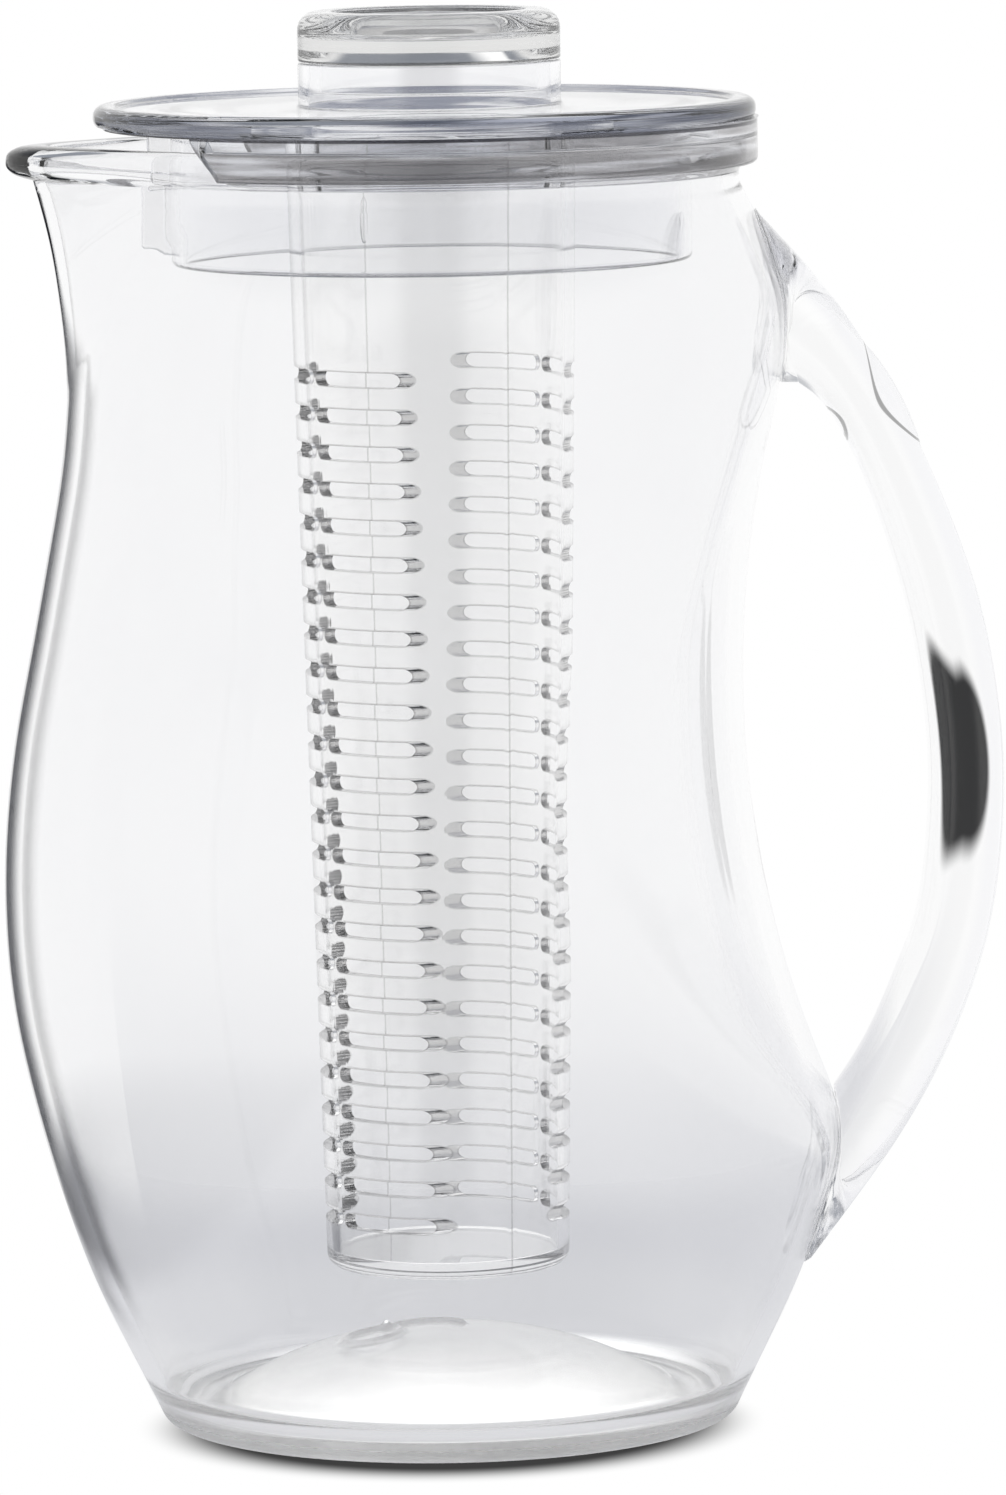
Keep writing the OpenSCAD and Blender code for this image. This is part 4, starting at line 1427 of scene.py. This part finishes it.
@dataclass
class InfuserTube:
    """The tapered tube with its slots and its twist lock."""

    at: Heights
    bottom_z: float = 31 * MM
    bottom_r: float = 24.4 * MM
    wall: float = 2.3 * MM
    floor: float = 3.4 * MM
    edge: float = 2.5 * MM
    rows: int = 24
    start: float = 11 * MM
    pitch: float = 7.32 * MM
    slot_h: float = 2.9 * MM
    slot_edge: float = 0.22 * MM
    rib: float = 1.1 * MM
    reach: float = 19.8 * MM
    mould_line: float = 0.12 * MM
    drop_size: Place = (0.5 * MM, 2.1 * MM, 10 * MM)
    drop_down: float = 21 * MM
    drop_sunk: float = 0.2 * MM
    drop_taper: Range = (0.45, 0.75)
    soft_edge: float = 0.3 * MM
    corner_steps: int = 6
    sides: int = 192

    def __post_init__(self) -> None:
        """Works out the taper, which fits the lid's boss at the top, and the first row of slots."""
        at = self.at
        self.top = at.disc_under - at.seat_gap
        self.floor_z = self.bottom_z + self.floor
        self.bottom_in = self.bottom_r - self.wall
        spread = at.neck_r + at.plug_gap - self.bottom_in
        self.top_in = self.bottom_in + spread * (self.top - self.floor_z) / (at.neck_z - self.floor_z)
        self.top_r = self.top_in + self.wall
        self.first_z = self.bottom_z + self.start
        self.across = at.slot_angle + 90

    def build(self) -> bpy.types.Object:
        """Spins the tube, cuts its slots and its twist lock.

        Returns:
            The piece.
        """
        at, edge = self.at, self.edge
        corner = arc((self.bottom_r - edge, self.bottom_z + edge), edge, -90, 0, self.corner_steps)
        section = [
            (0.0, self.bottom_z), *corner, (self.top_r, self.top), (self.top_in, self.top),
            (self.bottom_in, self.floor_z), (0.0, self.floor_z),
        ]
        bm = spun(section, self.sides)
        turn_round(bm, self.across)
        soften(bm, self.soft_edge)
        self.raise_mould_lines(bm)
        bm = combined(bm, self.gate_drop(), "UNION")
        bm = combined(bm, joined(self.slots()), "DIFFERENCE")
        tidy(bm)
        low, high = self.first_z - self.slot_h, self.first_z + (self.rows - 1) * self.pitch + self.slot_h
        soften(bm, self.slot_edge, lambda m: low < m.z < high, 2)
        for cutter in self.lock_cuts():
            bm = combined(bm, cutter, "DIFFERENCE")
        tidy(bm)
        piece = finished("slotted_infuser_tube", bm, 32.0)
        taper = (self.top_r - self.bottom_r) / (self.top - self.bottom_z)
        finish = TubePlastic(
            "clear_tube_plastic", tint=(0.995, 0.995, 0.992), smear_tint=(0.985, 0.985, 0.98),
            wave_height=0.000005, turn=math.radians(at.slot_angle), first_z=self.first_z,
            pitch=self.pitch, rows=self.rows, slot_h=self.slot_h,
            slot_ends=(self.rib + self.slot_h / 2, self.reach - self.slot_h / 2),
            outer_r=self.bottom_r - self.bottom_z * taper, taper=taper,
        )
        return seat(piece, "infuser_tube", Body.INFUSER, finish)

    def raise_mould_lines(self, bm: bmesh.types.BMesh) -> None:
        """Raises the two thin lines where the halves of the mould met."""
        step, across = math.tau / self.sides, math.radians(self.across)
        for vert in bm.verts:
            radius = math.hypot(vert.co.x, vert.co.y)
            off = math.remainder(math.atan2(vert.co.y, vert.co.x) - across, math.pi)
            if abs(off) < step / 2 and radius > self.bottom_r - self.wall / 3:
                vert.co.xy *= 1 + self.mould_line / radius

    def gate_drop(self) -> bmesh.types.BMesh:
        """The drop that the gate left on the far mould line, slim at its top.

        Returns:
            The drop's mesh.
        """
        bm = bmesh.new()
        thick, width, height = self.drop_size
        bmesh.ops.create_uvsphere(bm, u_segments=16, v_segments=16, radius=0.5)
        bmesh.ops.scale(bm, verts=bm.verts[:], vec=(2 * thick, width, height))
        for vert in bm.verts:
            share = 0.5 - vert.co.z / height
            vert.co.y *= self.drop_taper[0] + self.drop_taper[1] * share
        place = (self.top_r - self.drop_sunk, 0, self.top - self.drop_down)
        bmesh.ops.translate(bm, verts=bm.verts[:], vec=place)
        turn_round(bm, self.across)
        return bm

    def slots(self) -> list[bmesh.types.BMesh]:
        """Cutters for the slots, one bar with round ends through both walls each.

        Returns:
            The cutters.
        """
        half_h, start = self.slot_h / 2, self.top_r + MM
        outline = arc((self.reach - half_h, 0), half_h, -90, 90)
        outline += arc((self.rib + half_h, 0), half_h, 90, 270)
        bars = []
        for row in range(self.rows):
            z = self.first_z + row * self.pitch
            for side in (1, -1):
                bm = bmesh.new()
                face = bm.faces.new([bm.verts.new((-start, side * x, z + dz)) for x, dz in outline])
                run = bmesh.ops.extrude_face_region(bm, geom=[face])["geom"]
                moved = [g for g in run if isinstance(g, bmesh.types.BMVert)]
                bmesh.ops.translate(bm, verts=moved, vec=(2 * start, 0, 0))
                turn_round(bm, self.at.slot_angle)
                bmesh.ops.recalc_face_normals(bm, faces=bm.faces[:])
                bars.append(bm)
        return bars

    def lock_cuts(self) -> list[bmesh.types.BMesh]:
        """Cutters for the groove that the lugs turn in and for the ways into it.

        Returns:
            The cutters.
        """
        at = self.at
        reach, half_w = at.lug_plane + at.plug_gap, at.lug_w / 2 + at.plug_gap
        groove_r = math.hypot(reach, half_w) + at.plug_gap / 3
        low = at.lug_z - at.seat_gap
        high = at.lug_z + at.lug_h + at.seat_gap
        cuts = [spun([(0.0, low), (groove_r, low), (groove_r, high), (0.0, high)], self.sides)]
        for i in range(at.lug_count):
            turn = 360 * (i + 0.5) / at.lug_count + at.slot_angle
            far = Vector((reach, half_w, self.top + MM))
            cuts.append(block(Vector((0.0, -half_w, (low + high) / 2)), far, turn))
        return cuts


# Studio


def stage_piece(name: str, bm: bmesh.types.BMesh) -> tuple[bpy.types.Object, Shader]:
    """Makes a piece of the stage with an empty material.

    Args:
        name: Name of the piece and of its material.
        bm: Its mesh.

    Returns:
        The piece and the builder of its material.
    """
    made = finished(name, bm)
    material = bpy.data.materials.new(name)
    material.use_nodes = True
    made.data.materials.append(material)
    return made, Shader(material.node_tree)


def set_light_paths() -> None:
    """Lets light pass through all the walls and keeps white white."""
    scene = bpy.context.scene
    scene.view_settings.view_transform = "Standard"
    scene.cycles.max_bounces = 32
    scene.cycles.transmission_bounces = 32
    scene.cycles.glossy_bounces = 16
    scene.cycles.transparent_max_bounces = 32


@dataclass
class Studio:
    """Plain pale floor, soft light from all round, and the camera of the photograph."""

    frame_h: float = 1495.0
    focal_px: float = 9565.0
    distance: float = 1.9
    eye_z: float = 0.36
    pitch: float = 6.77
    roll: float = 0.888
    axis_px: float = 63.2
    sensor: float = 36.0
    floor_r: float = 0.6
    floor_fade: Range = (0.10, 0.17)
    floor_z: float = -0.05 * MM
    shade_r: float = 51 * MM
    shade_shift: float = 13 * MM
    shade_band: Range = (-4 * MM, 13 * MM)
    shade_power: float = 1.3
    shade: Colour = (0.05, 0.05, 0.05)
    glow_at: Place = (4 * MM, 14 * MM, 0.0)
    glow_band: Range = (44 * MM, 54 * MM)
    glow_left: Range = (100 * MM, 125 * MM)
    # Painted shade on the glowing disc: grey further out and darker on the left.
    painted_far_shade: Colour = (0.5, 0.503, 0.52)
    painted_left_shade: Colour = (0.2, 0.203, 0.215)
    glow_strength: float = 1.5
    glow_fade: Range = (0.2, 0.3)
    card_low: Place = (-0.09, 0.27, -0.05)
    card_high: Place = (0.17, 0.27, 0.45)
    # Painted shade that greys the card low down.
    painted_card_shade: Colour = (0.83, 0.833, 0.85)
    card_band: Range = (-0.03, 0.08)
    spot_at: Place = (0.1072, 0.02, 0.131)
    spot_half: Place = (0.0048, 1.0, 0.027)
    spot_fade: Range = (0.7, 1.0)
    # Painted shade: the dark streak that the grip shows.
    painted_spot_shade: Colour = (0.03, 0.03, 0.03)
    flag_r: float = 1.0
    flag_turn: Band = (16.0, 20.0, 30.0, 40.0)
    flag_rise: Band = (-50.0, -40.0, 6.0, 18.0)
    flag_tint: Colour = (0.02, 0.024, 0.035)
    above_rise: Range = (22.0, 38.0)
    above_light: Colour = (0.30, 0.32, 0.36)
    box_turn: Band = (-80.0, -60.0, -20.0, 0.0)
    box_rise: Band = (40.0, 45.0, 64.0, 70.0)
    box_light: Colour = (1.3, 1.3, 1.3)
    front_y: Range = (-0.97, -0.80)
    front_rise: Band = (-40.0, -28.0, 38.0, 50.0)
    front_light: Colour = (0.20, 0.205, 0.22)

    def camera(self) -> None:
        """Makes the camera and sets it."""
        data = bpy.data.cameras.new("camera")
        data.sensor_width = self.sensor
        data.lens = self.focal_px / self.frame_h * self.sensor
        data.clip_start, data.clip_end = 0.05, 100
        made = bpy.data.objects.new("camera", data)
        yaw = math.degrees(math.atan(self.axis_px / self.focal_px))
        turn = (
            Matrix.Rotation(math.radians(-yaw), 4, "Z")
            @ Matrix.Rotation(math.radians(90 - self.pitch), 4, "X")
            @ Matrix.Rotation(math.radians(-self.roll), 4, "Z")
        )
        made.matrix_world = Matrix.Translation((0, -self.distance, self.eye_z)) @ turn
        bpy.context.scene.collection.objects.link(made)
        bpy.context.scene.camera = made

    def disc(self, height: float) -> bmesh.types.BMesh:
        """The floor's disc at a height."""
        bm = bmesh.new()
        bmesh.ops.create_circle(bm, cap_ends=True, segments=96, radius=self.floor_r)
        bmesh.ops.translate(bm, verts=bm.verts[:], vec=(0, 0, height))
        return bm

    def floor(self) -> None:
        """Lays the pale disc that carries the contact shadow, which only the camera sees."""
        made, shader = stage_piece("floor", self.disc(self.floor_z))
        point = shader.object_point()
        from_shade = shader.vector("DISTANCE", point, (0.0, -self.shade_shift, 0.0)).out("Value")
        share = (1 - (from_shade - self.shade_r).between(*self.shade_band)) ** self.shade_power
        radius = shader.vector("LENGTH", point).out("Value")
        shader.glow(shader.mix(share, WHITE, self.shade), 1.0, radius.between(*self.floor_fade))
        made.visible_transmission = made.visible_glossy = made.visible_diffuse = False

    def floor_glow(self) -> None:
        """Lays the disc that glows into the plastic from below, which the camera does not see, bright under
        the pitcher and greyed by painted shade further out and on the left.
        """
        made, shader = stage_piece("floor_glow", self.disc(2 * self.floor_z))
        point = shader.object_point()
        far = shader.vector("DISTANCE", point, self.glow_at).out("Value").between(*self.glow_band)
        left = (0 - shader.split(point)[0]).between(*self.glow_left)
        # Painted shade: greyer away from the pitcher and darker on the left.
        colour = shader.mix(left, shader.mix(far, WHITE, self.painted_far_shade), self.painted_left_shade)
        radius = shader.vector("LENGTH", point).out("Value")
        shader.glow(colour, self.glow_strength, radius.between(*self.glow_fade))
        made.visible_camera = False

    def card(self) -> None:
        """Stands a white card behind the pitcher, greyed low down by painted shade, that only shows through
        the plastic.
        """
        low, high = Vector(self.card_low), Vector(self.card_high)
        made, shader = stage_piece("white_card", upright((low + high) / 2, high - low))
        height = shader.split(shader.object_point())[2]
        # Painted shade: the card turns grey low down.
        shader.glow(shader.mix(height.between(*self.card_band), self.painted_card_shade, WHITE))
        made.visible_camera = False

    def grip_shade_spot(self) -> None:
        """Hangs a small dark spot with soft edges behind the grip, which only shows through its plastic as
        painted shade for the grip's dark streak.
        """
        middle, half = Vector(self.spot_at), Vector(self.spot_half)
        made, shader = stage_piece("grip_shade_spot", upright(middle, 2 * half))
        x, _, z = shader.split(shader.object_point())
        away = ((x - middle.x) / half.x).hypot((z - middle.z) / half.z)
        # Painted shade: the dark streak that the grip shows.
        shader.glow(self.painted_spot_shade, 1.0, away.between(*self.spot_fade))
        made.visible_camera = False

    def flag(self) -> None:
        """Hangs a dark curved flag with soft edges to the left behind, which the plastic reflects."""
        bm = bmesh.new()
        bmesh.ops.create_grid(bm, x_segments=16, y_segments=8, size=0.5)
        for vert in bm.verts:
            turn, rise = vert.co.x + 0.5, vert.co.y + 0.5
            turn = math.radians(self.flag_turn[0] + turn * (self.flag_turn[3] - self.flag_turn[0]))
            rise = math.radians(self.flag_rise[0] + rise * (self.flag_rise[3] - self.flag_rise[0]))
            side = self.flag_r * math.cos(rise)
            vert.co = (-side * math.sin(turn), side * math.cos(turn), self.flag_r * math.sin(rise))
        made, shader = stage_piece("dark_flag", bm)
        x, y, z = shader.split(shader.vector("NORMALIZE", shader.object_point()))
        share = (0 - x).turn_to(y).inside(self.flag_turn) * z.slope().inside(self.flag_rise)
        shader.glow(self.flag_tint, 1.0, 1 - share)
        made.visible_camera = made.visible_transmission = False

    def light(self) -> None:
        """Light by direction: white low down, a dim room in front and a soft box above."""
        world = bpy.data.worlds.new("studio_light")
        bpy.context.scene.world = world
        world.use_nodes = True
        shader = Shader(world.node_tree)
        direction = shader.node("ShaderNodeTexCoord").out("Generated")
        x, y, z = shader.split(direction)
        turn, height = (0 - x).turn_to(y), z.slope()
        front = (1 - y.between(*self.front_y)) * height.inside(self.front_rise)
        box = turn.inside(self.box_turn) * height.inside(self.box_rise)
        colour = shader.mix(height.between(*self.above_rise), WHITE, self.above_light)
        colour = shader.mix(box, colour, self.box_light)
        colour = shader.mix(front, colour, self.front_light)
        back = shader.node("ShaderNodeBackground", {}, {"Color": colour, "Strength": 1.0})
        shader.node("ShaderNodeOutputWorld", {}, {"Surface": back})

    def build(self) -> None:
        """Sets up the whole studio."""
        steps = (self.camera, self.floor, self.floor_glow, self.card, self.grip_shade_spot, self.flag, self.light)
        for step in steps:
            step()
        set_light_paths()
        LOG.info("studio: camera, floor and light")


def main() -> None:
    """Builds every piece in order."""
    Studio().build()
    form = JugForm()
    heights = Heights(form)
    Jug(form).build()
    Handle(form).build()
    Lid(heights).build()
    KnobCap(heights).build()
    InfuserTube(heights).build()


if __name__ == "__main__":
    main()
